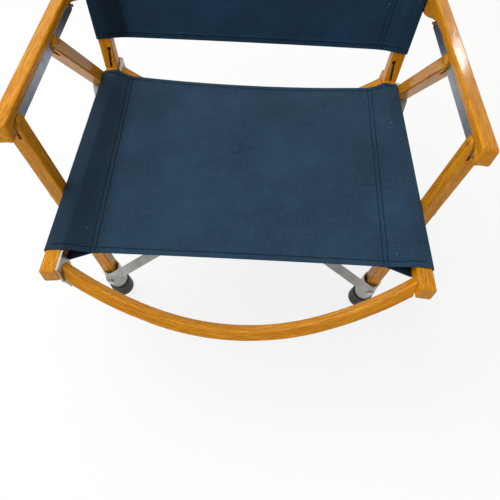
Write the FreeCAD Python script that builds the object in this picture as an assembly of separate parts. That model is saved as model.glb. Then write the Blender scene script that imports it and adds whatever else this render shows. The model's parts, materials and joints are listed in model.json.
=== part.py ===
import FreeCAD, Part
import math
import os

from FreeCAD import Vector

# Low folding armchair of square oak stock. Each side is a flat frame: a seat rail, two legs on the
# rail's outer face and an arm on top of the legs. The two sides lean outwards, two bent bows and two
# pairs of crossing straps hold them apart, and canvas slings hang between the rails and the posts.
#
# A side is modelled flat, in (u, y, v): u outwards from the rail's outer face, y to the back from the
# front edge of the seat sling, v upwards from the rail's top. It is then rolled and mirrored.
# All sizes are in millimetres and all angles in degrees.

# ------------------------------------------------------------------ wood
STOCK = 19.0            # side of the square oak stock
EASE = 2.5              # radius of the eased edges
END_BEVEL = 1.2         # bevel of the wood's end faces
ROLL = 8.0              # outward lean of each side frame
RAIL_HALF = 222.0       # half distance between the rails' outer top edges
RAIL_TOP = 272.0        # height of the rails' top edge above the floor
RAIL_FRONT = -30.0      # front end of the rails
RAIL_REAR = 378.0       # rear end of the rails
LEG_GAP = 2.0           # washer between rail and leg
FRONT_PIVOT_Y = 101.0   # leg bolts through the rails
REAR_PIVOT_Y = 340.0
FRONT_LEAN = 6.4        # legs against the side frame's upright
REAR_LEAN = 39.8

# ------------------------------------------------------------------ arms
PIN_V = 113.0           # height of the leg-top pins over the rail's top
ARM_THICK = 12.0        # relieved middle of the arm
ARM_AIR = 0.5           # air between the leg tops and the arm
ARM_TOP_V = PIN_V + STOCK / 2 + ARM_AIR + ARM_THICK
ARM_NOSE = 5.0          # rounding of the arm's ends
ARM_TAIL = 14.0         # rounding under its rear end
ARC_SHARE = 0.29        # middle point of those quarter rounds, as a share of their radius
HEAD_STEP_START = 1.0   # slope from the front head to the thin middle
HEAD_STEP_END = 9.0
ARM_FRONT = 56.0
ARM_REAR = 425.0
FRONT_HEAD = 12.0       # length of the deep front head
FRONT_HEAD_DEPTH = 25.0
REAR_HEAD_DEPTH = 36.0
FLARE_START = 288.0     # where the underside starts to deepen, and where it is full
FLARE_END = 392.0
ARM_EASE = 3.0
STRIP_THICK = 3.0       # flat bar on edge under the arm
STRIP_U = 8.5           # its middle plane
STRIP_LOW_V = 107.0
STRIP_INSET = 5.0       # its depth inside the wood
STRIP_FRONT = 59.0
STRIP_REAR = 330.0
STRIP_CORNER = 4.0      # rounding of its lower corners
STRIP_RIVET_FRONT = 4.5  # front rivet before the head's rear end, rear rivet before the strip's
STRIP_RIVET_REAR = 7.0
STRIP_RIVET_UP = (3.0, 2.0)  # the two rivets above the pins
KERF_PLAY = 0.4         # play each side of the strip in the leg's kerf
FRONT_KERF = 16.0       # depth of the kerfs below the pins
REAR_KERF = 19.0
PIN_D = 5.0
PIN_PLAY = 0.08         # radial play of a pin in the strip
FIT = 0.1               # radial play of bolts, rivets and pegs in their holes
NOTCH_PLAY = 0.5
RIVET_D = 4.0
RIVET_TAIL = 0.8        # end of a strap's rivet inside the socket

# ------------------------------------------------------------------ legs, sockets and feet
SOCKET_OD = 28.6
SOCKET_ID = 25.4
SOCKET_LENGTH = 61.0
FOOT_D = 35.0
FOOT_HEIGHT = 27.0
FOOT_FLOOR = 11.0       # rubber under the tube's end
FOOT_ROUND = 6.0
FOOT_FLAT = 1.2         # depth of the flat that stands on the floor
WOOD_STOP = 6.0         # wood ends this far above the tube's end
LEG_PLAY = 0.2          # least play of the leg's corners in the tube, which are turned off if thicker
TURNED_UP = 2.0         # the turned end reaches this far out of the tube
LEG_BOLT_D = 6.0
BOLT_HEAD_D = 13.0
BOLT_HEAD_H = 3.5
NUT_D = 11.0
NUT_H = 5.0
WASHER_D = 15.0

# ------------------------------------------------------------------ straps
STRAP_W = 14.5
STRAP_T = 2.5
STRAP_BOLT_D = 5.0
STRAP_HEAD_D = 9.5
STRAP_HEAD_H = 2.5
STRAP_FOOT_UP = 57.0    # strap rivet on the socket above the foot's end, along the leg
STRAP_PAD_LOW = 12.0    # flat end on the socket, below and above its rivet
STRAP_PAD_HIGH = 18.0
STRAP_AIR = 1.0         # a strap's play at the leg or lug, which leans against it
LUG_BOLT_DOWN = 27.0    # lug bolt below the leg bolt, along the leg
LUG_W = 19.0
LUG_T = 2.5
LUG_HIGH = 29.0         # ends of the lug's plate on the leg, over and under its bolt
LUG_LOW = 12.0
LUG_REACH = 19.0        # corner of the lug to the strap's bolt
LUG_TIP = 6.5
LUG_HOLE_PLAY = 2.4     # wide hole, because the strap meets the lug's flange at a small angle
HEAD_AIR = 0.9          # lift of the rivet's head over the slanting flange

# ------------------------------------------------------------------ bows
BOW_STOCK = 15.5
BOW_EASE = 3.0
BOW_SAG = 74.0
BOW_MID_RADIUS = 285.0
BOW_MID_ANGLE = 20.0
BOW_DOWN = 16.0         # middle of the bow's ends below the rail's top
BOW_SPARE = 18.0        # length of arc beyond the ends, which are sawn off along the rails
FRONT_BOW_TILT = 30.0   # the front bow leans forward, the rear one hangs straight down
REAR_BOW_TILT = 0.0
FRONT_BOW_Y = -14.5
REAR_BOW_Y = 362.0
BRACKET_T = 3.0
BRACKET_W = 28.0
BRACKET_TOP = 0.5       # its upper and lower edge below the rail's top
BRACKET_H = 30.0
BRACKET_ROUND = 8.0     # radius of its lower corners
HINGE_TONGUE = 22.0     # reach of the tongue along the bow's underside
HINGE_PIN_SHARE = 0.6   # place of the pin along it
HINGE_PIN_D = 4.0
HINGE_PIN_UP = 11.0     # length of the pin, which ends inside the bow
SCREW_D = 3.0
SCREW_LENGTH = 6.0
SCREW_SINK = 1.8
SCREW_APART = 18.0
SCREW_DOWN = 6.5
PEG_D = 8.0
PEG_DEPTH = 9.0
PEG_IN_BOW = 5.0
BOW_PLAY = 0.3

# ------------------------------------------------------------------ backrest
POST_Y = 359.0          # middle of the post at the rail's top
POST_LEAN = 12.0
POST_LENGTH = 360.0
TONGUE_T = 3.0
TONGUE_W = 15.0
TONGUE_H = 26.0
TONGUE_SINK = 11.0
TONGUE_PLAY = 0.4
KERF_EYE_D = 6.0
POST_GAP = 0.4

# ------------------------------------------------------------------ slings
CANVAS = 1.2
CANVAS_GAP = 0.3
SEAT_DEPTH = 342.0
SEAT_SINK = 12.0        # middle of the seat below the rails' top
SEAT_SLOPE = 46.0       # width over which the canvas drops from the rail to the middle
BACK_START = 46.0       # lower edge of the back sling above the rail's top, along the post
BACK_TOP_MARGIN = 8.0
NOTCH_D = 18.0          # openings in the sleeves round the leg washers

PARTS = {}


def vec(x, y, z):
    return Vector(x, y, z)


def box(x0, x1, y0, y1, z0, z1):
    """Box between two corners."""
    return Part.makeBox(x1 - x0, y1 - y0, z1 - z0, vec(x0, y0, z0))


def rod(diameter, start, end):
    """Round bar from start to end."""
    return Part.makeCylinder(diameter / 2, (end - start).Length, start, end - start)


def hole(diameter, start, end):
    """Cutter for the hole of a round bar of the given diameter."""
    return rod(diameter + 2 * FIT, start, end)


def eased(shape, radius, chosen):
    """Shape with the edges that pass the test rounded."""
    edges = [edge for edge in shape.Edges if chosen(edge)]
    return shape.makeFillet(radius, edges)


def bevelled(shape, size, chosen):
    """Shape with the edges that pass the test bevelled."""
    edges = [edge for edge in shape.Edges if chosen(edge)]
    return shape.makeChamfer(size, edges)


def along(axis):
    """Test for straight edges parallel to an axis."""
    def test(edge):
        if not isinstance(edge.Curve, Part.Line):
            return False
        return abs(edge.Curve.Direction.dot(axis)) > 0.999
    return test


def prism(points, u0, u1):
    """Closed outline in (y, v), extruded from u0 to u1."""
    corners = [vec(u0, y, v) for y, v in points]
    face = Part.Face(Part.makePolygon(corners + corners[:1]))
    return face.extrude(vec(u1 - u0, 0, 0))


def placed(shape, side):
    """Flat side shape rolled outwards, set on its rail and mirrored for the left side."""
    moved = shape.copy()
    moved.rotate(vec(0, 0, 0), vec(0, 1, 0), ROLL)
    moved.translate(vec(RAIL_HALF, 0, RAIL_TOP))
    if side == "left":
        moved = moved.mirror(vec(0, 0, 0), vec(1, 0, 0))
    return moved


def spot(u, y, v, side):
    """Chair position of a point of the flat side."""
    angle = math.radians(ROLL)
    x = RAIL_HALF + u * math.cos(angle) + v * math.sin(angle)
    z = RAIL_TOP - u * math.sin(angle) + v * math.cos(angle)
    return vec(-x if side == "left" else x, y, z)


def add(name, shape):
    """Keeps a finished node; a group is a compound of its solids."""
    solids = shape.Solids
    PARTS[name] = solids[0] if len(solids) == 1 else Part.makeCompound(solids)


def group(name, shapes):
    add(name, Part.makeCompound(shapes))


# ------------------------------------------------------------------ leg geometry
RAIL_MID_V = -STOCK / 2
LEG_U = LEG_GAP + STOCK / 2
PIVOT_HEIGHT = spot(LEG_U, 0, RAIL_MID_V, "right").z
PIVOT_Y = {"front": FRONT_PIVOT_Y, "rear": REAR_PIVOT_Y}
LEAN = {"front": FRONT_LEAN, "rear": REAR_LEAN}
KERF = {"front": FRONT_KERF, "rear": REAR_KERF}


def pin_distance(end):
    """Leg bolt to top pin, along the leg."""
    return (PIN_V - RAIL_MID_V) / math.cos(math.radians(LEAN[end]))


def pin_y(end):
    return PIVOT_Y[end] - pin_distance(end) * math.sin(math.radians(LEAN[end]))


def leg_length(end):
    """Leg bolt to the foot's end, so that the tilted foot's rounded rim stands on its flat."""
    tilt = math.acos(math.cos(math.radians(LEAN[end])) * math.cos(math.radians(ROLL)))
    rim = (FOOT_D / 2 - FOOT_ROUND) * math.sin(tilt)
    return (PIVOT_HEIGHT + FOOT_FLAT - FOOT_ROUND - rim) / math.cos(tilt) + FOOT_ROUND


def on_leg(shape, end):
    """Shape drawn along a leg, z up it from the leg bolt, moved into the flat side."""
    moved = shape.copy()
    moved.rotate(vec(0, 0, 0), vec(1, 0, 0), LEAN[end])
    moved.translate(vec(LEG_U, PIVOT_Y[end], RAIL_MID_V))
    return moved


def leg_spot(u, y, z, end, side):
    """Chair position of a point given in a leg's own frame."""
    angle = math.radians(LEAN[end])
    flat_y = PIVOT_Y[end] + y * math.cos(angle) - z * math.sin(angle)
    flat_v = RAIL_MID_V + y * math.sin(angle) + z * math.cos(angle)
    return spot(LEG_U + u, flat_y, flat_v, side)


def socket_span(end):
    """Lower and upper end of the socket tube, in the leg's own z."""
    low = -(leg_length(end) - FOOT_FLOOR)
    return low, low + SOCKET_LENGTH


def strap_bolt_z(end):
    """Strap bolt on a socket, in the leg's own z."""
    return -(leg_length(end) - STRAP_FOOT_UP)


# ------------------------------------------------------------------ wooden parts
def rail():
    body = box(-STOCK, 0, RAIL_FRONT, RAIL_REAR, -STOCK, 0)
    body = eased(body, EASE, along(vec(0, 1, 0)))
    body = bevelled(body, END_BEVEL, lambda edge: edge.BoundBox.YLength < 0.01)
    for end in PIVOT_Y:
        body = body.cut(hole(LEG_BOLT_D, vec(-STOCK, PIVOT_Y[end], RAIL_MID_V),
                             vec(0, PIVOT_Y[end], RAIL_MID_V)))
    return body


def leg(end):
    """Square leg with a round forked top; the strip of the arm runs in its kerf."""
    half = STOCK / 2
    top = pin_distance(end)
    low = socket_span(end)[0] + WOOD_STOP
    body = box(-half, half, -half, half, low, top)
    body = eased(body, EASE, along(vec(0, 0, 1)))
    turned_top = socket_span(end)[1] + TURNED_UP
    chips = rod(4 * STOCK, vec(0, 0, low), vec(0, 0, turned_top))
    body = body.cut(chips.cut(rod(SOCKET_ID - 2 * LEG_PLAY, vec(0, 0, low), vec(0, 0, turned_top))))
    cap = rod(STOCK, vec(-half, 0, top), vec(half, 0, top))
    cap = bevelled(cap, END_BEVEL, lambda edge: isinstance(edge.Curve, Part.Circle))
    body = body.cut(box(-half, half, -half, half, top - 0.5, top)).fuse(cap).removeSplitter()
    kerf_u = STRIP_U - LEG_U
    kerf_half = STRIP_THICK / 2 + KERF_PLAY
    body = body.cut(box(kerf_u - kerf_half, kerf_u + kerf_half, -STOCK, STOCK,
                        top - KERF[end], top + STOCK))
    body = body.cut(hole(PIN_D, vec(-half, 0, top), vec(half, 0, top)))
    body = body.cut(hole(LEG_BOLT_D, vec(-half, 0, 0), vec(half, 0, 0)))
    if end == "rear":
        body = body.cut(hole(STRAP_BOLT_D, vec(0, -STOCK, -LUG_BOLT_DOWN), vec(0, STOCK, -LUG_BOLT_DOWN)))
    return body


def arm_outline():
    """Side view of the arm: a deep rounded front head, a thin middle and a rear head that flares down."""
    low = ARM_TOP_V - ARM_THICK
    head_low = ARM_TOP_V - FRONT_HEAD_DEPTH
    tail_low = ARM_TOP_V - REAR_HEAD_DEPTH
    nose = ARM_NOSE
    tail = ARM_TAIL
    head_end = ARM_FRONT + FRONT_HEAD
    p = vec
    start = p(0, ARM_FRONT + nose, ARM_TOP_V)
    edges = [
        Part.Arc(start, p(0, ARM_FRONT + nose * ARC_SHARE, ARM_TOP_V - nose * ARC_SHARE),
                 p(0, ARM_FRONT, ARM_TOP_V - nose)).toShape(),
        Part.LineSegment(p(0, ARM_FRONT, ARM_TOP_V - nose), p(0, ARM_FRONT, head_low + nose)).toShape(),
        Part.Arc(p(0, ARM_FRONT, head_low + nose),
                 p(0, ARM_FRONT + nose * ARC_SHARE, head_low + nose * ARC_SHARE),
                 p(0, ARM_FRONT + nose, head_low)).toShape(),
        Part.LineSegment(p(0, ARM_FRONT + nose, head_low), p(0, head_end - nose, head_low)).toShape(),
        Part.BezierCurve(),
    ]
    rise = Part.BezierCurve()
    rise.setPoles([p(0, head_end - nose, head_low), p(0, head_end + HEAD_STEP_START, head_low),
                   p(0, head_end + HEAD_STEP_START, low), p(0, head_end + HEAD_STEP_END, low)])
    edges[-1] = rise.toShape()
    edges.append(Part.LineSegment(p(0, head_end + HEAD_STEP_END, low), p(0, FLARE_START, low)).toShape())
    flare = Part.BezierCurve()
    span = FLARE_END - FLARE_START
    flare.setPoles([p(0, FLARE_START, low), p(0, FLARE_START + span * 0.5, low),
                    p(0, FLARE_END - span * 0.45, tail_low), p(0, FLARE_END, tail_low)])
    edges.append(flare.toShape())
    edges.append(Part.LineSegment(p(0, FLARE_END, tail_low), p(0, ARM_REAR - tail, tail_low)).toShape())
    edges.append(Part.Arc(p(0, ARM_REAR - tail, tail_low),
                          p(0, ARM_REAR - tail * ARC_SHARE, tail_low + tail * ARC_SHARE),
                          p(0, ARM_REAR, tail_low + tail)).toShape())
    edges.append(Part.LineSegment(p(0, ARM_REAR, tail_low + tail),
                                  p(0, ARM_REAR, ARM_TOP_V - nose)).toShape())
    edges.append(Part.Arc(p(0, ARM_REAR, ARM_TOP_V - nose),
                          p(0, ARM_REAR - nose * ARC_SHARE, ARM_TOP_V - nose * ARC_SHARE),
                          p(0, ARM_REAR - nose, ARM_TOP_V)).toShape())
    edges.append(Part.LineSegment(p(0, ARM_REAR - nose, ARM_TOP_V), start).toShape())
    return Part.Face(Part.Wire(edges))


def strip():
    """Flat bar on edge: hinged on the front leg's pin, hooked over the rear leg's pin."""
    low = ARM_TOP_V - ARM_THICK
    top = low + STRIP_INSET
    body = box(STRIP_U - STRIP_THICK / 2, STRIP_U + STRIP_THICK / 2, STRIP_FRONT, STRIP_REAR,
               STRIP_LOW_V, top)
    body = eased(body, STRIP_CORNER, lambda edge: along(vec(1, 0, 0))(edge) and edge.CenterOfMass.z < PIN_V)
    u0 = STRIP_U - STRIP_THICK
    u1 = STRIP_U + STRIP_THICK
    front = pin_y("front")
    body = body.cut(rod(PIN_D + 2 * PIN_PLAY, vec(u0, front, PIN_V), vec(u1, front, PIN_V)))
    rear = pin_y("rear")
    notch = PIN_D + 2 * NOTCH_PLAY
    body = body.cut(rod(notch, vec(u0, rear, PIN_V), vec(u1, rear, PIN_V)))
    body = body.cut(box(u0, u1, rear - notch / 2, rear + notch / 2, STRIP_LOW_V - 1, PIN_V))
    for y, v in strip_rivet_spots():
        body = body.cut(hole(RIVET_D, vec(u0, y, v), vec(u1, y, v)))
    return body


def strip_rivet_spots():
    """Rivets that hold the strip in the arm's two heads."""
    return [(ARM_FRONT + FRONT_HEAD - STRIP_RIVET_FRONT, PIN_V + STRIP_RIVET_UP[0]),
            (STRIP_REAR - STRIP_RIVET_REAR, PIN_V + STRIP_RIVET_UP[1])]


def arm():
    body = arm_outline().extrude(vec(STOCK, 0, 0))
    body.translate(vec(LEG_GAP, 0, 0))
    body = eased(body, ARM_EASE,
                 lambda edge: on_side_face(edge, LEG_GAP) or on_side_face(edge, LEG_GAP + STOCK))
    groove = box(STRIP_U - STRIP_THICK / 2, STRIP_U + STRIP_THICK / 2, STRIP_FRONT, STRIP_REAR,
                 STRIP_LOW_V - STOCK, ARM_TOP_V - ARM_THICK + STRIP_INSET)
    body = body.cut(groove)
    for y, v in strip_rivet_spots():
        body = body.cut(hole(RIVET_D, vec(LEG_GAP, y, v), vec(LEG_GAP + STOCK, y, v)))
    return body


def on_side_face(edge, u):
    """Test for an edge that lies in the plane at u."""
    bounds = edge.BoundBox
    return abs(bounds.XMin - u) < 0.01 and abs(bounds.XMax - u) < 0.01


# ------------------------------------------------------------------ sockets, feet and bolts
def socket(end):
    low, high = socket_span(end)
    tube = rod(SOCKET_OD, vec(0, 0, low), vec(0, 0, high))
    return tube.cut(rod(SOCKET_ID, vec(0, 0, low), vec(0, 0, high)))


def foot(end):
    """Rubber cup with a rounded rim and a slight taper."""
    low = -leg_length(end)
    top = low + FOOT_HEIGHT
    waist = SOCKET_OD / 2 + 2.2
    outer = FOOT_D / 2
    inner = SOCKET_OD / 2 + FIT
    seat = low + FOOT_FLOOR
    points = [vec(0, 0, low), vec(outer, 0, low), vec(outer, 0, low + FOOT_FLOOR), vec(waist, 0, top),
              vec(inner, 0, top), vec(inner, 0, seat), vec(0, 0, seat)]
    face = Part.Face(Part.makePolygon(points + points[:1]))
    cup = face.revolve(vec(0, 0, 0), vec(0, 0, 1), 360)
    return eased(cup, FOOT_ROUND, lambda edge: edge.BoundBox.ZMax < low + 0.1 and edge.Length > FOOT_D)


def below_floor():
    """Block under the floor plane, which cuts the feet's flats."""
    return box(-2 * RAIL_HALF, 2 * RAIL_HALF, -RAIL_HALF, 4 * RAIL_HALF, -FOOT_D, 0)


def leg_hardware(end):
    """Bolt, washer and nut of a leg's pivot on the rail."""
    outer = LEG_GAP + STOCK
    mid = vec(0, PIVOT_Y[end], RAIL_MID_V)
    shank = rod(LEG_BOLT_D, mid + vec(-STOCK - NUT_H, 0, 0), mid + vec(outer, 0, 0))
    head = rod(BOLT_HEAD_D, mid + vec(outer, 0, 0), mid + vec(outer + BOLT_HEAD_H, 0, 0))
    head = bevelled(head, BOLT_HEAD_H * 0.5, lambda edge: edge.BoundBox.XMin > outer + BOLT_HEAD_H - 0.1)
    bolt = shank.fuse(head).removeSplitter()
    washer = rod(WASHER_D, mid, mid + vec(LEG_GAP, 0, 0)).cut(hole(LEG_BOLT_D, mid, mid + vec(LEG_GAP, 0, 0)))
    nut = hexagon(NUT_D, NUT_H)
    nut.rotate(vec(0, 0, 0), vec(0, 1, 0), -90)
    nut.translate(mid + vec(-STOCK, 0, 0))
    nut = nut.cut(hole(LEG_BOLT_D, mid + vec(-STOCK - NUT_H, 0, 0), mid + vec(-STOCK, 0, 0)))
    return bolt, washer, nut


def hexagon(across, height):
    """Hexagon nut blank on the xy plane, with the given width across its flats."""
    radius = across / math.sqrt(3)
    corners = [vec(radius * math.cos(math.radians(60 * k)), radius * math.sin(math.radians(60 * k)), 0)
               for k in range(6)]
    return Part.Face(Part.makePolygon(corners + corners[:1])).extrude(vec(0, 0, height))


def pin(end):
    """Headed pin across the forked top of a leg."""
    mid = vec(0, pin_y(end), PIN_V)
    inner = LEG_GAP
    outer = LEG_GAP + STOCK
    return rod(PIN_D, mid + vec(inner, 0, 0), mid + vec(outer, 0, 0))


# ------------------------------------------------------------------ straps
OTHER = {"left": "right", "right": "left"}
LEG_SIDE = {"front": -1, "rear": 1}     # straps lie on the legs' front faces, and on their rear faces
LAYER = {"left": 0, "right": 1}         # the strap that rises to the right leg lies over the other


def turned(point):
    """Chair position without its x, as a point of the side view."""
    return vec(0, point.y, point.z)


def run_points(end, side):
    """Middle line of a strap: rivet on the opposite socket, bend, and hole at this side's rear leg."""
    out = LEG_SIDE[end]
    low = leg_spot(0, out * (SOCKET_OD + STRAP_T) / 2, strap_bolt_z(end), end, OTHER[side])
    up = turned(leg_spot(0, 0, 1, end, side) - leg_spot(0, 0, 0, end, side)).normalize()
    if end == "front":
        eye = lug_eye()
        high = leg_spot(eye.x, eye.y, eye.z - LUG_T - STRAP_AIR - STRAP_T * 1.5, "rear", side)
    else:
        high = leg_spot(0, (STOCK + STRAP_T) / 2 + STRAP_AIR, -LUG_BOLT_DOWN, "rear", side)
        low = low + strap_face(end, low, high) * STRAP_AIR
    return low, up, high


def strap_face(end, low, high):
    """Unit normal of a pair's plane, on the side where its second strap lies."""
    run = turned(high - low)
    normal = vec(0, -run.z, run.y).normalize()
    return normal if end == "front" else normal * -1


def strap(end, side):
    """Flat bar with round ends; a front one is bent to lie flat on its socket."""
    low, up, high = run_points(end, side)
    if end == "front":
        bend = turned(low) + up * STRAP_PAD_HIGH
        face = strap_face(end, bend, high)
        line = [turned(low) - up * STRAP_PAD_LOW, bend,
                turned(high) + (turned(high) - bend).normalize() * STRAP_W]
    else:
        face = strap_face(end, low, high)
        along_run = (turned(high) - turned(low)).normalize()
        line = [turned(low) - along_run * STRAP_W, turned(high) + along_run * STRAP_W]
    sign = 1 if end == "front" else -1
    lift = LAYER[side] * STRAP_T
    upper = offset_line(line, sign * (STRAP_T / 2 + lift))
    lower = offset_line(line, sign * (lift - STRAP_T / 2))
    corners = [point - vec(RAIL_HALF + STOCK * 2, 0, 0) for point in upper + lower[::-1]]
    sheet = Part.Face(Part.makePolygon(corners + corners[:1])).extrude(vec(2 * RAIL_HALF + STOCK * 4, 0, 0))
    level = low - face * (low - high).dot(face)
    blank = sheet.common(laid(round_bar((high - level).Length), level, high - level, face))
    for rivet in strap_rivets(end, side):
        blank = blank.cut(rivet)
    return blank.cut(crossing_rivet(end))


def offset_line(points, distance):
    """Open line in the side view moved to its left by a distance, with mitred corners."""
    normals = []
    for first, second in zip(points, points[1:]):
        run = (second - first).normalize()
        normals.append(vec(0, -run.z, run.y))
    moved = []
    for index, point in enumerate(points):
        total = normals[max(index - 1, 0)] + normals[min(index, len(normals) - 1)]
        moved.append(point + total * (2 * distance / total.dot(total)))
    return moved


def round_bar(length):
    """Round-ended outline along x, tall enough to cut a bent sheet."""
    half = STRAP_W / 2
    reach = 60.0
    bar = box(0, length, -half, half, -reach, reach)
    bar = bar.fuse(rod(STRAP_W, vec(0, 0, -reach), vec(0, 0, reach)))
    return bar.fuse(rod(STRAP_W, vec(length, 0, -reach), vec(length, 0, reach))).removeSplitter()


def laid(shape, origin, run, normal):
    """Shape drawn along x on the xy plane, laid at origin along run with its z on the normal."""
    axis_x = Vector(run).normalize()
    axis_z = (normal - axis_x * normal.dot(axis_x)).normalize()
    axis_y = axis_z.cross(axis_x)
    matrix = FreeCAD.Matrix(axis_x.x, axis_y.x, axis_z.x, origin.x,
                            axis_x.y, axis_y.y, axis_z.y, origin.y,
                            axis_x.z, axis_y.z, axis_z.z, origin.z, 0, 0, 0, 1)
    moved = shape.copy()
    moved.Placement = FreeCAD.Placement(matrix)
    return moved


def headed(start, direction, length, with_tail):
    """Rivet with a domed head at its far end, and one at its near end if it has a tail."""
    shank = rod(STRAP_BOLT_D, start, start + direction * length)
    far = start + direction * length
    rivet = shank.fuse(rod(STRAP_HEAD_D, far, far + direction * STRAP_HEAD_H))
    if with_tail:
        rivet = rivet.fuse(rod(STRAP_HEAD_D, start - direction * STRAP_HEAD_H, start))
    return rivet.removeSplitter()


def strap_rivets(end, side):
    """Rivets of one strap: on the opposite socket, and in front also on this side's lug."""
    low, up, high = run_points(end, side)
    lift = LAYER[side] * STRAP_T
    out = vec(0, -up.z, up.y) if end == "front" else strap_face(end, low, high)
    wall = (SOCKET_OD - SOCKET_ID) / 2 + STRAP_T / 2 + RIVET_TAIL
    rivets = [headed(low - out * wall, out, wall + lift + STRAP_T / 2, False)]
    if end == "front":
        face = strap_face(end, turned(low) + up * STRAP_PAD_HIGH, high)
        under = STRAP_T / 2 - lift
        top = STRAP_T * 1.5 + STRAP_AIR + LUG_T + HEAD_AIR
        rivets.append(headed(high - face * under, face, under + top, True))
    return rivets


def crossing_rivet(end):
    """Rivet through the two straps where they cross, in the middle of the chair."""
    low, up, high = run_points(end, "right")
    bend = turned(low) + up * STRAP_PAD_HIGH if end == "front" else turned(low)
    face = strap_face(end, bend, high)
    share = abs(low.x) / (abs(low.x) + abs(high.x))
    mid = turned(low) + turned(high - low) * share
    mid = mid - face * (mid - turned(high)).dot(face)
    return headed(mid - face * STRAP_T / 2, face, 2 * STRAP_T, True)


def spacers(end):
    """Rings that carry the ends of the straps which lie a layer off their seat."""
    rings = []
    low, up, high = run_points(end, "right")
    out = vec(0, -up.z, up.y) if end == "front" else strap_face(end, low, high)
    rings.append(ring(low - out * STRAP_T / 2, out * STRAP_T))
    if end == "front":
        low, up, high = run_points(end, "left")
        face = strap_face(end, turned(low) + up * STRAP_PAD_HIGH, high)
        rings.append(ring(high + face * STRAP_T / 2, face * STRAP_T))
    return rings


def ring(start, run):
    return rod(STRAP_HEAD_D, start, start + run).cut(hole(STRAP_BOLT_D, start, start + run))


def lug_eye():
    """Middle of the flange's hole on its upper face, in the rear leg's own frame."""
    return vec(0, -STOCK / 2 - LUG_REACH, -LUG_BOLT_DOWN + LUG_HIGH)


def lug():
    """Angle plate on the front face of a rear leg, with a tapering flange for the strap."""
    face = -STOCK / 2
    top = -LUG_BOLT_DOWN + LUG_HIGH
    half = LUG_W / 2
    body = box(-half, half, face - LUG_T, face, top - LUG_HIGH - LUG_LOW, top)
    eye = lug_eye()
    corners = [vec(-half, face, top), vec(half, face, top), vec(half, face - LUG_T, top),
               vec(LUG_TIP, eye.y, top), vec(-LUG_TIP, eye.y, top), vec(-half, face - LUG_T, top)]
    body = body.fuse(Part.Face(Part.makePolygon(corners + corners[:1])).extrude(vec(0, 0, -LUG_T)))
    body = body.fuse(rod(2 * LUG_TIP, eye - vec(0, 0, LUG_T), eye)).removeSplitter()
    bolt_start = vec(0, face - LUG_T, -LUG_BOLT_DOWN)
    body = body.cut(hole(STRAP_BOLT_D, bolt_start, bolt_start + vec(0, LUG_T, 0)))
    return body.cut(rod(STRAP_BOLT_D + LUG_HOLE_PLAY, eye - vec(0, 0, LUG_T), eye))


def lug_bolt():
    """Bolt through lug, rear leg and the upper end of a rear strap, with its nut."""
    z = -LUG_BOLT_DOWN
    front = -STOCK / 2 - LUG_T
    seat = STOCK / 2 + STRAP_AIR + 2 * STRAP_T
    bolt = headed(vec(0, seat + NUT_H, z), vec(0, -1, 0), seat + NUT_H - front, False)
    nut = hexagon(STRAP_HEAD_D, NUT_H - 1)
    nut.rotate(vec(0, 0, 0), vec(1, 0, 0), -90)
    nut.translate(vec(0, seat + 0.5, z))
    return bolt, nut.cut(hole(STRAP_BOLT_D, vec(0, seat, z), vec(0, seat + NUT_H, z)))


# ------------------------------------------------------------------ bows
BOW_HALF = RAIL_HALF - STOCK


def bow_arcs():
    """Angles where the tight middle arc and the flatter outer arc end, and the outer arc's radius."""
    first = math.radians(BOW_MID_ANGLE)
    x1 = BOW_MID_RADIUS * math.sin(first)
    y1 = BOW_MID_RADIUS * (1 - math.cos(first))
    last = 2 * math.atan2(BOW_SAG - y1, BOW_HALF - x1) - first
    flat = (BOW_HALF - x1) / (math.sin(last) - math.sin(first))
    return first, last, flat


def bow_curve(radius_shift):
    """Half of the bow's edge from the middle to beyond its right end."""
    first, last, flat = bow_arcs()
    mid = vec(0, BOW_MID_RADIUS, 0)
    far = mid + vec(math.sin(first), -math.cos(first), 0) * (BOW_MID_RADIUS - flat)

    def arc(centre, radius, start, stop):
        angles = [start, (start + stop) / 2, stop]
        return [centre + vec(math.sin(a), -math.cos(a), 0) * radius for a in angles]

    reach = last + BOW_SPARE / flat
    return (arc(mid, BOW_MID_RADIUS + radius_shift, 0, first), arc(far, flat + radius_shift, first, reach))


def bow_blank():
    """Bent square stock, its ends' middle at height 0 and its middle hanging down in y."""
    edges = []
    corners = []
    for shift in (BOW_STOCK / 2, -BOW_STOCK / 2):
        mid, far = bow_curve(shift)
        corners.append(far[2])
        for arc in (mid, far):
            edges.append(Part.Arc(*arc).toShape())
            mirrored = [vec(-p.x, p.y, 0) for p in arc]
            edges.append(Part.Arc(*mirrored).toShape())
    edges.append(Part.LineSegment(corners[0], corners[1]).toShape())
    edges.append(Part.LineSegment(*[vec(-p.x, p.y, 0) for p in corners]).toShape())
    outline = Part.Wire(Part.__sortEdges__(edges))
    body = Part.Face(outline).extrude(vec(0, 0, BOW_STOCK))
    body.translate(vec(0, -BOW_SAG, -BOW_STOCK / 2))
    return eased(body, BOW_EASE,
                 lambda edge: not along(vec(0, 0, 1))(edge) and abs(edge.CenterOfMass.x) < BOW_HALF)


BOW_Y = {"front": FRONT_BOW_Y, "rear": REAR_BOW_Y}


def in_bow(shape, end):
    """Shape drawn flat like the blank, tilted and hung between the rails."""
    seat = spot(-STOCK, BOW_Y[end], -BOW_DOWN, "right")
    moved = shape.copy()
    angle = 90 - FRONT_BOW_TILT if end == "front" else 90 + REAR_BOW_TILT
    moved.rotate(vec(0, 0, 0), vec(1, 0, 0), angle)
    moved.translate(vec(0, seat.y, seat.z))
    return moved


def beyond(end, depth, side):
    """Block outside a plane that lies depth inside the rail's inner face, at a bow's end."""
    reach = 4 * STOCK
    return placed(box(-STOCK - depth, reach, BOW_Y[end] - reach, BOW_Y[end] + reach, -reach, reach), side)


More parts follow.
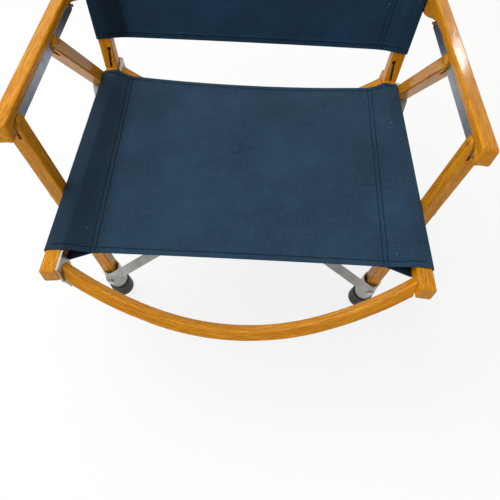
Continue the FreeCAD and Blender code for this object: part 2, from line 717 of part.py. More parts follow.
def bow(end):
    """Bow between the rails: hinged to a bracket on the left, pegged into the rail on the right."""
    body = in_bow(bow_blank(), end)
    body = body.cut(beyond(end, BOW_PLAY, "right"))
    body = body.cut(beyond(end, BRACKET_T + BOW_PLAY, "left"))
    body = body.cut(in_bow(tongue_plate(BOW_PLAY, BOW_STOCK, BOW_STOCK), end))
    body = body.cut(hinge_pin(end, hole))
    return body.cut(placed(peg(end, hole), "right"))


def at_left_end(shape):
    """Shape drawn along x from the bow's left end, turned to the bow's slope there."""
    moved = shape.copy()
    moved.rotate(vec(0, 0, 0), vec(0, 0, 1), -math.degrees(bow_arcs()[1]))
    moved.translate(vec(-BOW_HALF, 0, 0))
    return moved


def tongue_plate(play, half_width, depth):
    """Tongue of the hinge let into the bow's underside, or with play the rebate for it."""
    low = -BOW_STOCK / 2
    return at_left_end(box(-STOCK, HINGE_TONGUE + play, low + BRACKET_T - depth, low + BRACKET_T + play,
                           -half_width, half_width))


def hinge_pin(end, bar=rod):
    """Pin from the bracket's tongue up into the bow's end, or with bar=hole its hole."""
    x = HINGE_TONGUE * HINGE_PIN_SHARE
    low = -BOW_STOCK / 2
    return in_bow(at_left_end(bar(HINGE_PIN_D, vec(x, low, 0), vec(x, low + HINGE_PIN_UP, 0))), end)


def bracket(end):
    """Plate screwed to the left rail's inner face, with the hinge's tongue bent out of it."""
    mid = BOW_Y[end]
    plate = box(-STOCK - BRACKET_T, -STOCK, mid - BRACKET_W / 2, mid + BRACKET_W / 2,
                -BRACKET_H, -BRACKET_TOP)
    plate = placed(eased(plate, BRACKET_ROUND, low_corner), "left")
    tongue = in_bow(tongue_plate(0, BOW_STOCK / 2, BRACKET_T), end).cut(beyond(end, BRACKET_T / 2, "left"))
    body = plate.fuse(tongue).removeSplitter()
    for screw in bracket_screws(end):
        body = body.cut(placed(screw, "left"))
    return body.cut(hinge_pin(end, hole))


def low_corner(edge):
    """Test for a bracket's two lower corners."""
    return along(vec(1, 0, 0))(edge) and edge.CenterOfMass.z < -BOW_DOWN


def bracket_screws(end):
    """Countersunk screws of a bracket, in the rail over the hinge."""
    screws = []
    for side in (-1, 1):
        mid = vec(-STOCK, BOW_Y[end] + side * SCREW_APART / 2, -SCREW_DOWN)
        shank = rod(SCREW_D, mid + vec(SCREW_LENGTH, 0, 0), mid - vec(BRACKET_T, 0, 0))
        head = Part.makeCone(SCREW_D / 2, SCREW_D, SCREW_SINK,
                             mid - vec(BRACKET_T - SCREW_SINK, 0, 0), vec(-1, 0, 0))
        screws.append(shank.fuse(head).removeSplitter())
    return screws


def peg(end, bar=rod):
    """Round peg from the bow's right end into the rail, or with bar=hole its hole."""
    mid = vec(-STOCK, BOW_Y[end], -BOW_DOWN)
    return bar(PEG_D, mid - vec(PEG_IN_BOW, 0, 0), mid + vec(PEG_DEPTH, 0, 0))


# ------------------------------------------------------------------ backrest
def on_post(shape):
    """Shape drawn up z from the foot of a post, leaned back and set on the rail."""
    moved = shape.copy()
    moved.rotate(vec(0, 0, 0), vec(1, 0, 0), -POST_LEAN)
    moved.translate(vec(-STOCK / 2, POST_Y, 0))
    return moved


def on_foot(shape, side):
    """Upright shape leaned back like the posts and set on the middle of a post's foot."""
    rise = lift_axis()
    moved = shape.copy()
    moved.rotate(vec(0, 0, 0), vec(1, 0, 0), -math.degrees(math.atan2(rise.y, rise.z)))
    moved.translate(post_spot(0, 0, 0, side))
    return moved


def lift_axis():
    """Direction in which the backrest lifts off: the posts' own, without their outward lean."""
    return turned(post_spot(0, 0, 1, "right") - post_spot(0, 0, 0, "right")).normalize()


def post_tongue(side):
    """Plate that stands upright in the rail, so that both posts lift off it together."""
    half = TONGUE_T / 2
    wide = TONGUE_W / 2
    plate = box(-half, half, -wide, wide, -TONGUE_SINK, TONGUE_H)
    plate = eased(plate, wide * 0.8, lambda edge: along(vec(1, 0, 0))(edge) and edge.CenterOfMass.z > 0)
    return on_foot(plate, side)


def post(side):
    """Square post, cut level on the rail, with a kerf for the tongue that ends in a drilled eye."""
    half = STOCK / 2
    body = box(-half, half, -half, half, -STOCK, POST_LENGTH)
    body = eased(body, EASE, along(vec(0, 0, 1)))
    body = bevelled(body, END_BEVEL, lambda edge: edge.BoundBox.ZMin > POST_LENGTH - 0.1)
    body = on_post(body)
    reach = 4 * STOCK
    body = body.cut(box(-reach, reach, POST_Y - reach, POST_Y + reach, -reach, POST_GAP))
    kerf = TONGUE_T / 2 + TONGUE_PLAY
    eye = TONGUE_H + TONGUE_PLAY + 1
    slot = box(-kerf, kerf, -STOCK, STOCK, -STOCK, eye)
    slot = slot.fuse(rod(KERF_EYE_D, vec(0, -STOCK, eye), vec(0, STOCK, eye)))
    return placed(body, side).cut(on_foot(slot, side))


# ------------------------------------------------------------------ slings
def sleeve(half, inner, outer, length):
    """Square tube of canvas round a bar of half side, drawn along z."""
    shell = box(-half - outer, half + outer, -half - outer, half + outer, 0, length)
    shell = eased(shell, EASE + outer, along(vec(0, 0, 1)))
    bore = box(-half - inner, half + inner, -half - inner, half + inner, 0, length)
    bore = eased(bore, EASE + inner, along(vec(0, 0, 1)))
    return shell.cut(bore)


def seat_sling():
    """Canvas with a sleeve on each rail; its middle hangs below the rails' tops."""
    inner = CANVAS_GAP
    outer = CANVAS_GAP + CANVAS
    tube = sleeve(STOCK / 2, inner, outer, SEAT_DEPTH)
    tube.rotate(vec(0, 0, 0), vec(1, 0, 0), -90)
    tube.translate(vec(-STOCK / 2, 0, -STOCK / 2))
    for end in PIVOT_Y:
        for first, second in ((0, LEG_GAP), (-2 * STOCK, -STOCK)):
            tube = tube.cut(rod(NOTCH_D, vec(first, PIVOT_Y[end], RAIL_MID_V),
                                vec(second, PIVOT_Y[end], RAIL_MID_V)))
    top = spot(-STOCK + EASE, 0, outer, "right")
    edge_x = top.x
    sheet_top = top.z
    low = RAIL_TOP - SEAT_SINK
    inner_x = RAIL_HALF - SEAT_SLOPE
    poles = [(edge_x, sheet_top), (edge_x - SEAT_SLOPE * 0.35, sheet_top - 1),
             (inner_x + 12, low + 1.0), (inner_x, low)]
    shapes = [placed(tube, "right"), placed(tube, "left")]
    upper = []
    lower = []
    for lift, edges in ((0, upper), (-CANVAS, lower)):
        right = Part.BezierCurve()
        right.setPoles([vec(x, 0, z + lift) for x, z in poles])
        left = Part.BezierCurve()
        left.setPoles([vec(-x, 0, z + lift) for x, z in poles])
        edges += [right.toShape(), left.toShape()]
        edges.append(Part.LineSegment(vec(inner_x, 0, low + lift), vec(-inner_x, 0, low + lift)).toShape())
    ends = [Part.LineSegment(vec(s * edge_x, 0, sheet_top), vec(s * edge_x, 0, sheet_top - CANVAS)).toShape()
            for s in (-1, 1)]
    outline = Part.Wire(Part.__sortEdges__(upper + lower + ends))
    sheet = Part.Face(outline).extrude(vec(0, SEAT_DEPTH, 0))
    return sheet.fuse(shapes).removeSplitter()


def back_sling():
    """Canvas between the posts, closed round each of them by a sleeve."""
    inner = CANVAS_GAP
    outer = CANVAS_GAP + CANVAS
    length = POST_LENGTH - BACK_TOP_MARGIN - BACK_START
    tube = sleeve(STOCK / 2, inner, outer, length)
    tube.translate(vec(0, 0, BACK_START))
    tubes = [placed(on_post(tube), side) for side in ("left", "right")]
    back = STOCK / 2 - EASE
    wall = -STOCK / 2 - CANVAS_GAP - CANVAS / 2
    corners = []
    for side in ("left", "right"):
        for z in (BACK_START, BACK_START + length):
            corners.append([post_spot(wall, back + lift, z, side) for lift in (0, CANVAS)])
    left_low, left_high, right_low, right_high = corners
    near = [left_low[0], right_low[0], right_high[0], left_high[0]]
    far = [left_low[1], right_low[1], right_high[1], left_high[1]]
    sheet = loft_box(near, far)
    return sheet.fuse(tubes).removeSplitter()


def post_spot(u, y, z, side):
    """Chair position of a point given in a post's own frame."""
    angle = math.radians(POST_LEAN)
    flat_y = POST_Y + y * math.cos(angle) + z * math.sin(angle)
    flat_v = -y * math.sin(angle) + z * math.cos(angle)
    return spot(-STOCK / 2 + u, flat_y, flat_v, side)


def loft_box(near, far):
    """Solid between two quadrilaterals with matching corners."""
    wires = [Part.makePolygon(corners + corners[:1]) for corners in (near, far)]
    return Part.makeLoft(wires, True, True)


# ------------------------------------------------------------------ assembly
def build():
    for side in ("left", "right"):
        add(side + "_seat_rail", placed(with_bow_seats(rail(), side), side).cut(post_tongue(side)))
        add(side + "_arm", placed(arm(), side))
        add(side + "_arm_strip", placed(strip(), side))
        rivets = [placed(rod(RIVET_D, vec(LEG_GAP, y, v), vec(LEG_GAP + STOCK, y, v)), side)
                  for y, v in strip_rivet_spots()]
        group(side + "_arm_strip_rivets", rivets)
        for end in ("front", "rear"):
            name = side + "_" + end
            add(name + "_leg", placed(on_leg(leg(end), end), side))
            add(name + "_arm_pin", placed(pin(end), side))
            tube = placed(on_leg(socket(end), end), side)
            for rivet in strap_rivets(end, OTHER[side]):
                tube = tube.cut(rivet)
            add(name + "_socket", tube)
            add(name + "_foot", placed(on_leg(foot(end), end), side).cut(below_floor()))
        add(side + "_strap_lug", placed(on_leg(lug(), "rear"), side))
        add(side + "_back_post", post(side))
        add(side + "_post_tongue", post_tongue(side))
    build_groups()
    for end in ("front", "rear"):
        add(end + "_bow", bow(end))
        add(end + "_bow_bracket", bracket(end))
        add(end + "_bow_hinge_pin", hinge_pin(end))
        add(end + "_bow_peg", placed(peg(end), "right"))
        for side in ("left", "right"):
            add(end + "_strap_to_" + side, strap_with_bolt(end, side))
        add(end + "_crossing_rivet", crossing_rivet(end))
        rivets = strap_rivets(end, "left") + strap_rivets(end, "right")
        group(end + "_strap_rivets", rivets)
        group(end + "_strap_spacers", spacers(end))
    add("seat_sling", seat_sling())
    add("back_sling", back_sling())


def strap_with_bolt(end, side):
    """A rear strap's upper end also takes the lug's bolt."""
    shape = strap(end, side)
    if end == "rear":
        reach = vec(0, 3 * STOCK, 0)
        start = vec(0, 0, -LUG_BOLT_DOWN)
        shape = shape.cut(placed(on_leg(hole(STRAP_BOLT_D, start, start + reach), "rear"), side))
    return shape


def with_bow_seats(shape, side):
    """Rail with the holes of the brackets' screws on the left, or of the pegs on the right."""
    for end in ("front", "rear"):
        cutters = [peg(end, hole)] if side == "right" else bracket_screws(end)
        for cutter in cutters:
            shape = shape.cut(cutter)
    return shape


def build_groups():
    """Identical fasteners share a node."""
    bolts, washers, nuts = [], [], []
    lug_bolts, lug_nuts = [], []
    for side in ("left", "right"):
        for end in ("front", "rear"):
            bolt, washer, nut = leg_hardware(end)
            bolts.append(placed(bolt, side))
            washers.append(placed(washer, side))
            nuts.append(placed(nut, side))
        bolt, nut = lug_bolt()
        lug_bolts.append(placed(on_leg(bolt, "rear"), side))
        lug_nuts.append(placed(on_leg(nut, "rear"), side))
    group("leg_bolts", bolts)
    group("leg_washers", washers)
    group("leg_nuts", nuts)
    group("lug_bolts", lug_bolts)
    group("lug_nuts", lug_nuts)
    group("bow_bracket_screws", [placed(screw, "left") for end in BOW_Y for screw in bracket_screws(end)])


def write():
    """Centres the chair over its origin and writes one file for each node."""
    whole = Part.makeCompound(list(PARTS.values()))
    bounds = whole.optimalBoundingBox()
    shift = vec(-bounds.Center.x, -bounds.Center.y, -bounds.ZMin)
    os.makedirs("parts", exist_ok=True)
    for name, shape in PARTS.items():
        moved = shape.copy()
        moved.translate(shift)
        moved.exportStep("parts/" + name + ".step")
    report_places(shift, bounds)


def report_places(shift, bounds):
    """Prints the places that the joints and the mounts need, in metres."""
    print("size", [round(v, 2) for v in (bounds.XLength, bounds.YLength, bounds.ZLength)])
    for side in ("left", "right"):
        hinge = spot(LEG_U, pin_y("front"), PIN_V, side) + shift
        axis = spot(1, 0, 0, side) - spot(0, 0, 0, side)
        print(side, "arm hinge", metres(hinge), "axis", [round(v, 6) for v in axis])
    post_foot = (post_spot(0, 0, 0, "left") + post_spot(0, 0, 0, "right")) * 0.5 + shift
    print("post foot", metres(post_foot), "axis", [round(v, 6) for v in lift_axis()])
    for name, shape in PARTS.items():
        if name.endswith("_foot"):
            flat = [face for face in shape.Faces if face.BoundBox.ZMax < 0.01]
            print(name, "stands at", metres(flat[0].CenterOfMass + shift))


def metres(point):
    return [round(value / 1000, 5) for value in point]


build()
write()
print(len(PARTS), "nodes")
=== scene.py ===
# %% [markdown]
# # A low folding armchair of oak, aluminium and canvas
#
# The chair's frame comes from CAD and is right to a tenth of a millimetre. What CAD can't give is how the
# chair looks: lacquered oak, satin aluminium, and canvas that is sewn, pulled tight and a little worn.
# This notebook loads the frame, makes those finishes from shader nodes and sews the two slings.

import json
import math

import bpy
import numpy as np
from mathutils import Matrix, Vector

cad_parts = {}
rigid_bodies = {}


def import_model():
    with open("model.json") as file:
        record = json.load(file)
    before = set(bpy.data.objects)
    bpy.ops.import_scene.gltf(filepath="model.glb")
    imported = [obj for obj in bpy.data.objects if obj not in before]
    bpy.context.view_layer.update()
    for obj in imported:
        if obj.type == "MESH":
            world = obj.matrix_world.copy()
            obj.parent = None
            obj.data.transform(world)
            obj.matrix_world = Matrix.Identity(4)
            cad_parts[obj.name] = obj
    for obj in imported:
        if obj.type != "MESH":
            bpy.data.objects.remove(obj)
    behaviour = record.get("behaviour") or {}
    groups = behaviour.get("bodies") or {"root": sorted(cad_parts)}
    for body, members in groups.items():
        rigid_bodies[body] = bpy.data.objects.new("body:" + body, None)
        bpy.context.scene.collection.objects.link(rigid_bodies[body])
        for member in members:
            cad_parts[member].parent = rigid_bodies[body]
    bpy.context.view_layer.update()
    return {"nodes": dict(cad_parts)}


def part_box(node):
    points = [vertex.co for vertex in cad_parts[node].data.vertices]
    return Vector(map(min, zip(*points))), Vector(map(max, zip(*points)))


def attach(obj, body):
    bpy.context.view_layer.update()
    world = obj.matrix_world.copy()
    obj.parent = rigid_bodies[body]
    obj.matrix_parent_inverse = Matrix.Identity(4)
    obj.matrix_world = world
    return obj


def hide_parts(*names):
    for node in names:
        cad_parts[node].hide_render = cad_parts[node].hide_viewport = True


for thing in list(bpy.data.objects):
    bpy.data.objects.remove(thing)
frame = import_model()
nodes = frame["nodes"]
scene = bpy.context.scene

# %% [markdown]
# ## The side frames' slant
#
# Both sides lean outwards, so nothing on them is parallel to the axes. A few directions turn the measures
# that a chair maker would use, out of the rail, back and up, into places in the scene. The middle of a rail
# is the middle of its box, and everything else is measured from there.

# %% Places on a side frame
STOCK = 0.019                   # square section of the rails and posts
ROLL = math.radians(8.0)        # outward lean of both sides
POST_LEAN = math.radians(12.0)  # backward lean of the posts


def box_corners(name):
    """Low and high corner of a CAD node's box."""
    return [np.array(corner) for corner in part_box(name)]


rail_middle = sum(box_corners("right_seat_rail")) / 2
rail_out = np.array([math.cos(ROLL), 0, -math.sin(ROLL)])
rail_up = np.array([math.sin(ROLL), 0, math.cos(ROLL)])
post_rise = np.array([math.sin(ROLL) * math.cos(POST_LEAN), math.sin(POST_LEAN),
                      math.cos(ROLL) * math.cos(POST_LEAN)])
post_front = np.array([math.sin(ROLL) * math.sin(POST_LEAN), -math.cos(POST_LEAN),
                       math.cos(ROLL) * math.sin(POST_LEAN)])
sling_low, sling_high = box_corners("seat_sling")
print("rail middle", rail_middle.round(4), "sling from", sling_low.round(4), "to", sling_high.round(4))

# %% [markdown]
# ## The camera
#
# Someone stands in front of the chair and looks down on the seat from about half a metre above it. The
# camera aims just behind the seat's front edge and is turned a little, as a hand-held one is.

# %% Camera
ELEVATION = math.radians(52.7)
CAMERA_ROLL = math.radians(2.8)
AIM_BEHIND_EDGE = 0.0239
AIM_HEIGHT = 0.26
AIM_ASIDE = 0.0118
CAMERA_DISTANCE = 0.6516
LENS = 39.6                     # millimetres, on a sensor as wide as the next value
SENSOR = 36.0

aim = np.array([AIM_ASIDE, sling_low[1] + AIM_BEHIND_EDGE, AIM_HEIGHT])
back = np.array([0, -math.cos(ELEVATION), math.sin(ELEVATION)])
camera_data = bpy.data.cameras.new("camera")
camera_data.lens = LENS
camera_data.sensor_width = SENSOR
camera = bpy.data.objects.new("camera", camera_data)
scene.collection.objects.link(camera)
camera.location = aim + back * CAMERA_DISTANCE
look_down = Matrix.Rotation(math.pi / 2 - ELEVATION, 3, "X")
camera.rotation_euler = (look_down @ Matrix.Rotation(CAMERA_ROLL, 3, "Z")).to_euler()
scene.camera = camera
print("camera at", [round(v, 3) for v in camera.location])

# %% [markdown]
# ## Building blocks for the finishes
#
# Several finishes need the same few effects: noise stretched along a direction, a colour that wanders
# between two shades, a fine bump. What they share becomes a node group, made once and used with its own
# values. Noise scales are per metre, so a scale of 300 gives marks of about 3 mm.

# %% Small helpers for node trees
def clear_tree(tree):
    for node in list(tree.nodes):
        tree.nodes.remove(node)


def feed(tree, value, socket):
    """Links an output to an input, or sets the input to a plain value."""
    if isinstance(value, bpy.types.NodeSocket):
        tree.links.new(value, socket)
    else:
        socket.default_value = value


def new_group(name, inputs, outputs):
    """Shader node group with named sockets: (kind, name, default) in, (kind, name) out."""
    group = bpy.data.node_groups.new(name, "ShaderNodeTree")
    for kind, label, value in inputs:
        socket = group.interface.new_socket(name=label, in_out="INPUT", socket_type="NodeSocket" + kind)
        if value is not None:
            socket.default_value = value
    for kind, label in outputs:
        group.interface.new_socket(name=label, in_out="OUTPUT", socket_type="NodeSocket" + kind)
    return group, group.nodes.new("NodeGroupInput"), group.nodes.new("NodeGroupOutput")


def place_group(tree, group, **values):
    """Group node with its inputs fed by name."""
    node = tree.nodes.new("ShaderNodeGroup")
    node.node_tree = group
    for label, value in values.items():
        feed(tree, value, node.inputs[label])
    return node


def vector_math(tree, operation, a, b=None, scale=None):
    node = tree.nodes.new("ShaderNodeVectorMath")
    node.operation = operation
    for slot, value in ((0, a), (1, b), ("Scale", scale)):
        if value is not None:
            feed(tree, value, node.inputs[slot])
    return node.outputs["Value"] if operation == "DOT_PRODUCT" else node.outputs[0]


def number_math(tree, operation, a, b=None):
    node = tree.nodes.new("ShaderNodeMath")
    node.operation = operation
    for slot, value in enumerate((a, b)):
        if value is not None:
            feed(tree, value, node.inputs[slot])
    return node.outputs[0]


def grow(tree, base, value, amount):
    """The base plus an amount of the value."""
    return number_math(tree, "ADD", base, number_math(tree, "MULTIPLY", value, amount))


def noise(tree, vector, scale, detail=3.0, roughness=0.55):
    node = tree.nodes.new("ShaderNodeTexNoise")
    node.inputs["Scale"].default_value = scale
    node.inputs["Detail"].default_value = detail
    node.inputs["Roughness"].default_value = roughness
    tree.links.new(vector, node.inputs["Vector"])
    return node.outputs["Fac"]


def ramp(tree, value, low, high):
    """Value spread so that low becomes 0 and high becomes 1, smoothly."""
    node = tree.nodes.new("ShaderNodeMapRange")
    node.interpolation_type = "SMOOTHSTEP"
    node.inputs["From Min"].default_value = low
    node.inputs["From Max"].default_value = high
    tree.links.new(value, node.inputs["Value"])
    return node.outputs["Result"]


def blend_colour(tree, share, first, second):
    """Mix of two colours, each a socket or red, green and blue, by a share."""
    node = tree.nodes.new("ShaderNodeMix")
    node.data_type = "RGBA"
    feed(tree, share, node.inputs["Factor"])
    for slot, value in ((6, first), (7, second)):
        feed(tree, (*value, 1) if isinstance(value, tuple) else value, node.inputs[slot])
    return node.outputs[2]


def tint(tree, colour, shade, mask, amount):
    """Colour taken towards a shade by an amount of the mask."""
    return blend_colour(tree, number_math(tree, "MULTIPLY", mask, amount), colour, shade)


print("helpers ready")

# %% Helpers for whole materials
def surface(name):
    """New material with its Principled shader."""
    material = bpy.data.materials.new(name)
    material.use_nodes = True
    clear_tree(material.node_tree)
    shader = material.node_tree.nodes.new("ShaderNodeBsdfPrincipled")
    end = material.node_tree.nodes.new("ShaderNodeOutputMaterial")
    material.node_tree.links.new(shader.outputs[0], end.inputs[0])
    return material, material.node_tree, shader


def object_place(tree):
    return tree.nodes.new("ShaderNodeTexCoord").outputs["Object"]


def bump(tree, height, shader, strength, distance, target="Normal"):
    node = tree.nodes.new("ShaderNodeBump")
    node.inputs["Strength"].default_value = strength
    node.inputs["Distance"].default_value = distance
    tree.links.new(height, node.inputs["Height"])
    tree.links.new(node.outputs[0], shader.inputs[target])


def set_levels(shader, levels):
    """Numbers that are the same all over a surface, on the shader's own sockets."""
    for label, value in levels.items():
        shader.inputs[label].default_value = value


def give(name, material):
    """Sets the one material of a CAD node."""
    data = nodes[name].data
    data.materials.clear()
    data.materials.append(material)


print("material helpers ready")

# %% [markdown]
# ## Light, floor and background
#
# A small lamp like a far window stands behind and to the right, and leaves the long bright streak on the
# lacquered arm. A second one in front picks out the bow. A wide soft lamp overhead and a weak one in front
# do the rest. The surroundings are white only to camera, mirror and glass rays, so they add no light to the
# chair, and the floor keeps its shadow.

# %% Lamps
LAMPS = {                       # place, side of the square in metres, power in watts
    "window": ((1.27, 1.79, 1.34), 0.07, 2.0),
    "overhead": ((-0.95, -0.05, 2.0), 1.6, 36),
    "front_window": ((-0.10, -2.42, 1.12), 0.22, 4.5),
    "front_fill": ((-1.2, -1.9, 1.1), 1.6, 2),
}
LAMP_AIM = Vector((0, 0, 0.25))  # about the middle of the seat

for name, (place, size, power) in LAMPS.items():
    data = bpy.data.lights.new(name, "AREA")
    data.shape = "SQUARE"
    data.size = size
    data.energy = power
    lamp = bpy.data.objects.new(name, data)
    scene.collection.objects.link(lamp)
    lamp.location = place
    lamp.rotation_euler = (LAMP_AIM - Vector(place)).to_track_quat("-Z", "Y").to_euler()

# %% White surroundings and a pale floor
SOFT_COLOUR = (1.0, 0.98, 0.95)
SOFT_STRENGTH = 0.55
WHITE = (1, 1, 1)
FLOOR_GREY = (0.86, 0.86, 0.86)
FLOOR_GLOW = 0.82               # share of plain white in the floor that the camera sees
FLOOR_REACH = 6.0


def seen_directly(tree):
    """1 for camera, mirror and glass rays, and 0 for the light that falls on things."""
    path = tree.nodes.new("ShaderNodeLightPath")
    mirrored = number_math(tree, "MAXIMUM", path.outputs["Is Camera Ray"], path.outputs["Is Glossy Ray"])
    return number_math(tree, "MAXIMUM", mirrored, path.outputs["Is Transmission Ray"])


def one_colour(tree, kind, colour, strength=None):
    """Background, emission or diffuse shader."""
    node = tree.nodes.new("ShaderNode" + kind)
    node.inputs["Color"].default_value = (*colour, 1)
    if strength is not None:
        node.inputs["Strength"].default_value = strength
    return node.outputs[0]


def end_with_mix(tree, kind, share, first, second):
    """Mix of two shaders by a share, linked to the tree's output."""
    mix = tree.nodes.new("ShaderNodeMixShader")
    for slot, value in enumerate((share, first, second)):
        tree.links.new(value, mix.inputs[slot])
    tree.links.new(mix.outputs[0], tree.nodes.new("ShaderNodeOutput" + kind).inputs[0])


world = bpy.data.worlds.new("studio")
scene.world = world
world.use_nodes = True
tree = world.node_tree
clear_tree(tree)
end_with_mix(tree, "World", seen_directly(tree), one_colour(tree, "Background", SOFT_COLOUR, SOFT_STRENGTH),
             one_colour(tree, "Background", WHITE, 1.0))

floor_mesh = bpy.data.meshes.new("floor")
floor_corners = [(a * FLOOR_REACH, b * FLOOR_REACH, 0) for a, b in ((-1, -1), (1, -1), (1, 1), (-1, 1))]
floor_mesh.from_pydata(floor_corners, [], [(0, 1, 2, 3)])
floor = bpy.data.objects.new("floor", floor_mesh)
scene.collection.objects.link(floor)
paint = bpy.data.materials.new("floor_paint")
paint.use_nodes = True
tree = paint.node_tree
clear_tree(tree)
end_with_mix(tree, "Material", number_math(tree, "MULTIPLY", seen_directly(tree), FLOOR_GLOW),
             one_colour(tree, "BsdfDiffuse", FLOOR_GREY), one_colour(tree, "Emission", WHITE))
floor_mesh.materials.append(paint)
scene.view_settings.view_transform = "Standard"
print("floor and surroundings are white to the camera")

# %% [markdown]
# ## Oak
#
# Oak shows three things under its lacquer: growth bands that wander along the board, finer brown streaks,
# and short dark pores. All three are noise squeezed along the board's own direction, so every piece gets
# the direction in which it was sawn, and slow patches of honey lie over them. A bow is bent, so its grain
# runs round the bend: there the place is measured as an angle times the radius, and as a distance from
# the centre.

# %% Grain coordinates
GRAIN_STRETCH = 0.045           # marks are this many times as wide as they are long


def straight_grain_group():
    """Place split along and across a direction; the across part is kept, and the along part is shrunk."""
    group, start, end = new_group("straight_grain",
                                  [("Vector", "Place", None), ("Vector", "Direction", (0, 1, 0))],
                                  [("Vector", "Grain")])
    place, direction = start.outputs[0], start.outputs[1]
    length = vector_math(group, "DOT_PRODUCT", place, direction)
    along = vector_math(group, "SCALE", direction, scale=length)
    across = vector_math(group, "SUBTRACT", place, along)
    short = vector_math(group, "SCALE", along, scale=GRAIN_STRETCH)
    group.links.new(vector_math(group, "ADD", across, short), end.inputs[0])
    return group


def bent_grain_group():
    """Place in a bow's plane turned into (angle times radius, distance from the centre, depth)."""
    group, start, end = new_group("bent_grain", [("Vector", "Place", None), ("Vector", "Centre", (0, 0, 0)),
                                                 ("Vector", "Up", (0, 0, 1)), ("Vector", "Depth", (0, 1, 0)),
                                                 ("Float", "Radius", 0.3)], [("Vector", "Grain")])
    place, centre, up, depth, radius = start.outputs[:5]
    spoke = vector_math(group, "SUBTRACT", place, centre)
    split = group.nodes.new("ShaderNodeSeparateXYZ")
    group.links.new(spoke, split.inputs[0])
    aside = split.outputs["X"]
    down = number_math(group, "MULTIPLY", vector_math(group, "DOT_PRODUCT", spoke, up), -1.0)
    arc = number_math(group, "MULTIPLY", number_math(group, "ARCTAN2", aside, down), radius)
    square = number_math(group, "ADD", number_math(group, "MULTIPLY", down, down),
                         number_math(group, "MULTIPLY", aside, aside))
    join = group.nodes.new("ShaderNodeCombineXYZ")
    parts = (number_math(group, "MULTIPLY", arc, GRAIN_STRETCH), number_math(group, "SQRT", square),
             vector_math(group, "DOT_PRODUCT", spoke, depth))
    for slot, value in enumerate(parts):
        group.links.new(value, join.inputs[slot])
    group.links.new(join.outputs[0], end.inputs[0])
    return group


straight_grain = straight_grain_group()
bent_grain = bent_grain_group()
print("grain groups:", straight_grain.name, bent_grain.name)

# %% Oak's colour, pores and lacquer
PALE, HONEY = (0.65, 0.290, 0.013), (0.55, 0.205, 0.004)
BROWN, DARK = (0.29, 0.086, 0.002), (0.11, 0.026, 0.002)
LACQUER = {"Specular IOR Level": 0.05, "Coat Weight": 0.5, "Coat IOR": 1.27, "Coat Roughness": 0.05}


def oak_group():
    """Colour, pore height and roughness of lacquered oak for stretched grain coordinates."""
    group, start, end = new_group("lacquered_oak", [("Vector", "Grain", None)],
                                  [("Color", "Color"), ("Float", "Height"), ("Float", "Roughness")])
    grain = start.outputs[0]
    sway = number_math(group, "SUBTRACT", noise(group, grain, 35.0, 2.0), 0.5)
    bend = vector_math(group, "ADD", grain, vector_math(
        group, "SCALE", grain, scale=number_math(group, "MULTIPLY", sway, 0.02)))
    bands = ramp(group, noise(group, bend, 300.0, 2.0), 0.38, 0.62)
    fine = ramp(group, noise(group, bend, 800.0, 3.0, 0.65), 0.44, 0.64)
    pores = ramp(group, noise(group, bend, 1700.0, 2.0, 0.6), 0.56, 0.66)
    patches = ramp(group, noise(group, grain, 22.0, 2.0), 0.3, 0.7)
    colour = blend_colour(group, bands, PALE, HONEY)
    colour = tint(group, colour, BROWN, fine, 0.68)
    colour = tint(group, colour, DARK, pores, 0.62)
    colour = tint(group, colour, HONEY, patches, 0.28)
    height = number_math(group, "SUBTRACT", 1.0, number_math(group, "MULTIPLY", pores, 0.8))
    for slot, value in enumerate((colour, height, grow(group, 0.24, fine, 0.14))):
        group.links.new(value, end.inputs[slot])
    return group


lacquered_oak = oak_group()


def oak(name, coordinates, **values):
    """Lacquered oak whose grain runs as the coordinate group says; the lacquer has a ripple of its own."""
    material, tree, shader = surface(name)
    place = object_place(tree)
    grain = place_group(tree, coordinates, Place=place, **values)
    wood = place_group(tree, lacquered_oak, Grain=grain.outputs[0])
    tree.links.new(wood.outputs["Color"], shader.inputs["Base Color"])
    tree.links.new(wood.outputs["Roughness"], shader.inputs["Roughness"])
    bump(tree, wood.outputs["Height"], shader, 0.25, 0.00012)
    bump(tree, noise(tree, place, 520.0, 2.0), shader, 0.6, 0.00015, "Coat Normal")
    set_levels(shader, LACQUER)
    return material


print("oak group:", lacquered_oak.name)

# %% Oak on every wooden node
BOW_TILTS = {"front": math.radians(30), "rear": 0.0}  # a bow's plane, from upright
BOW_SAG = 0.074                 # hang of a bow's middle line between the rails
BOW_DOWN = 0.016                # its ends, below the top of the rails


def node_axis(first, second):
    """Unit vector from the middle of one node's box to another's."""
    middles = [sum(box_corners(name)) / 2 for name in (first, second)]
    run = middles[1] - middles[0]
    return tuple(run / np.linalg.norm(run))


for side, sign in (("left", -1), ("right", 1)):
    give(side + "_seat_rail", oak(side + "_rail_oak", straight_grain, Direction=(0, 1, 0)))
    give(side + "_arm", oak(side + "_arm_oak", straight_grain, Direction=(0.02, 0.9998, 0)))
    give(side + "_back_post", oak(side + "_post_oak", straight_grain,
                                  Direction=(sign * post_rise[0], post_rise[1], post_rise[2])))
    for end in ("front", "rear"):
        leg = side + "_" + end
        give(leg + "_leg", oak(leg + "_oak", straight_grain,
                               Direction=node_axis(leg + "_foot", leg + "_arm_pin")))

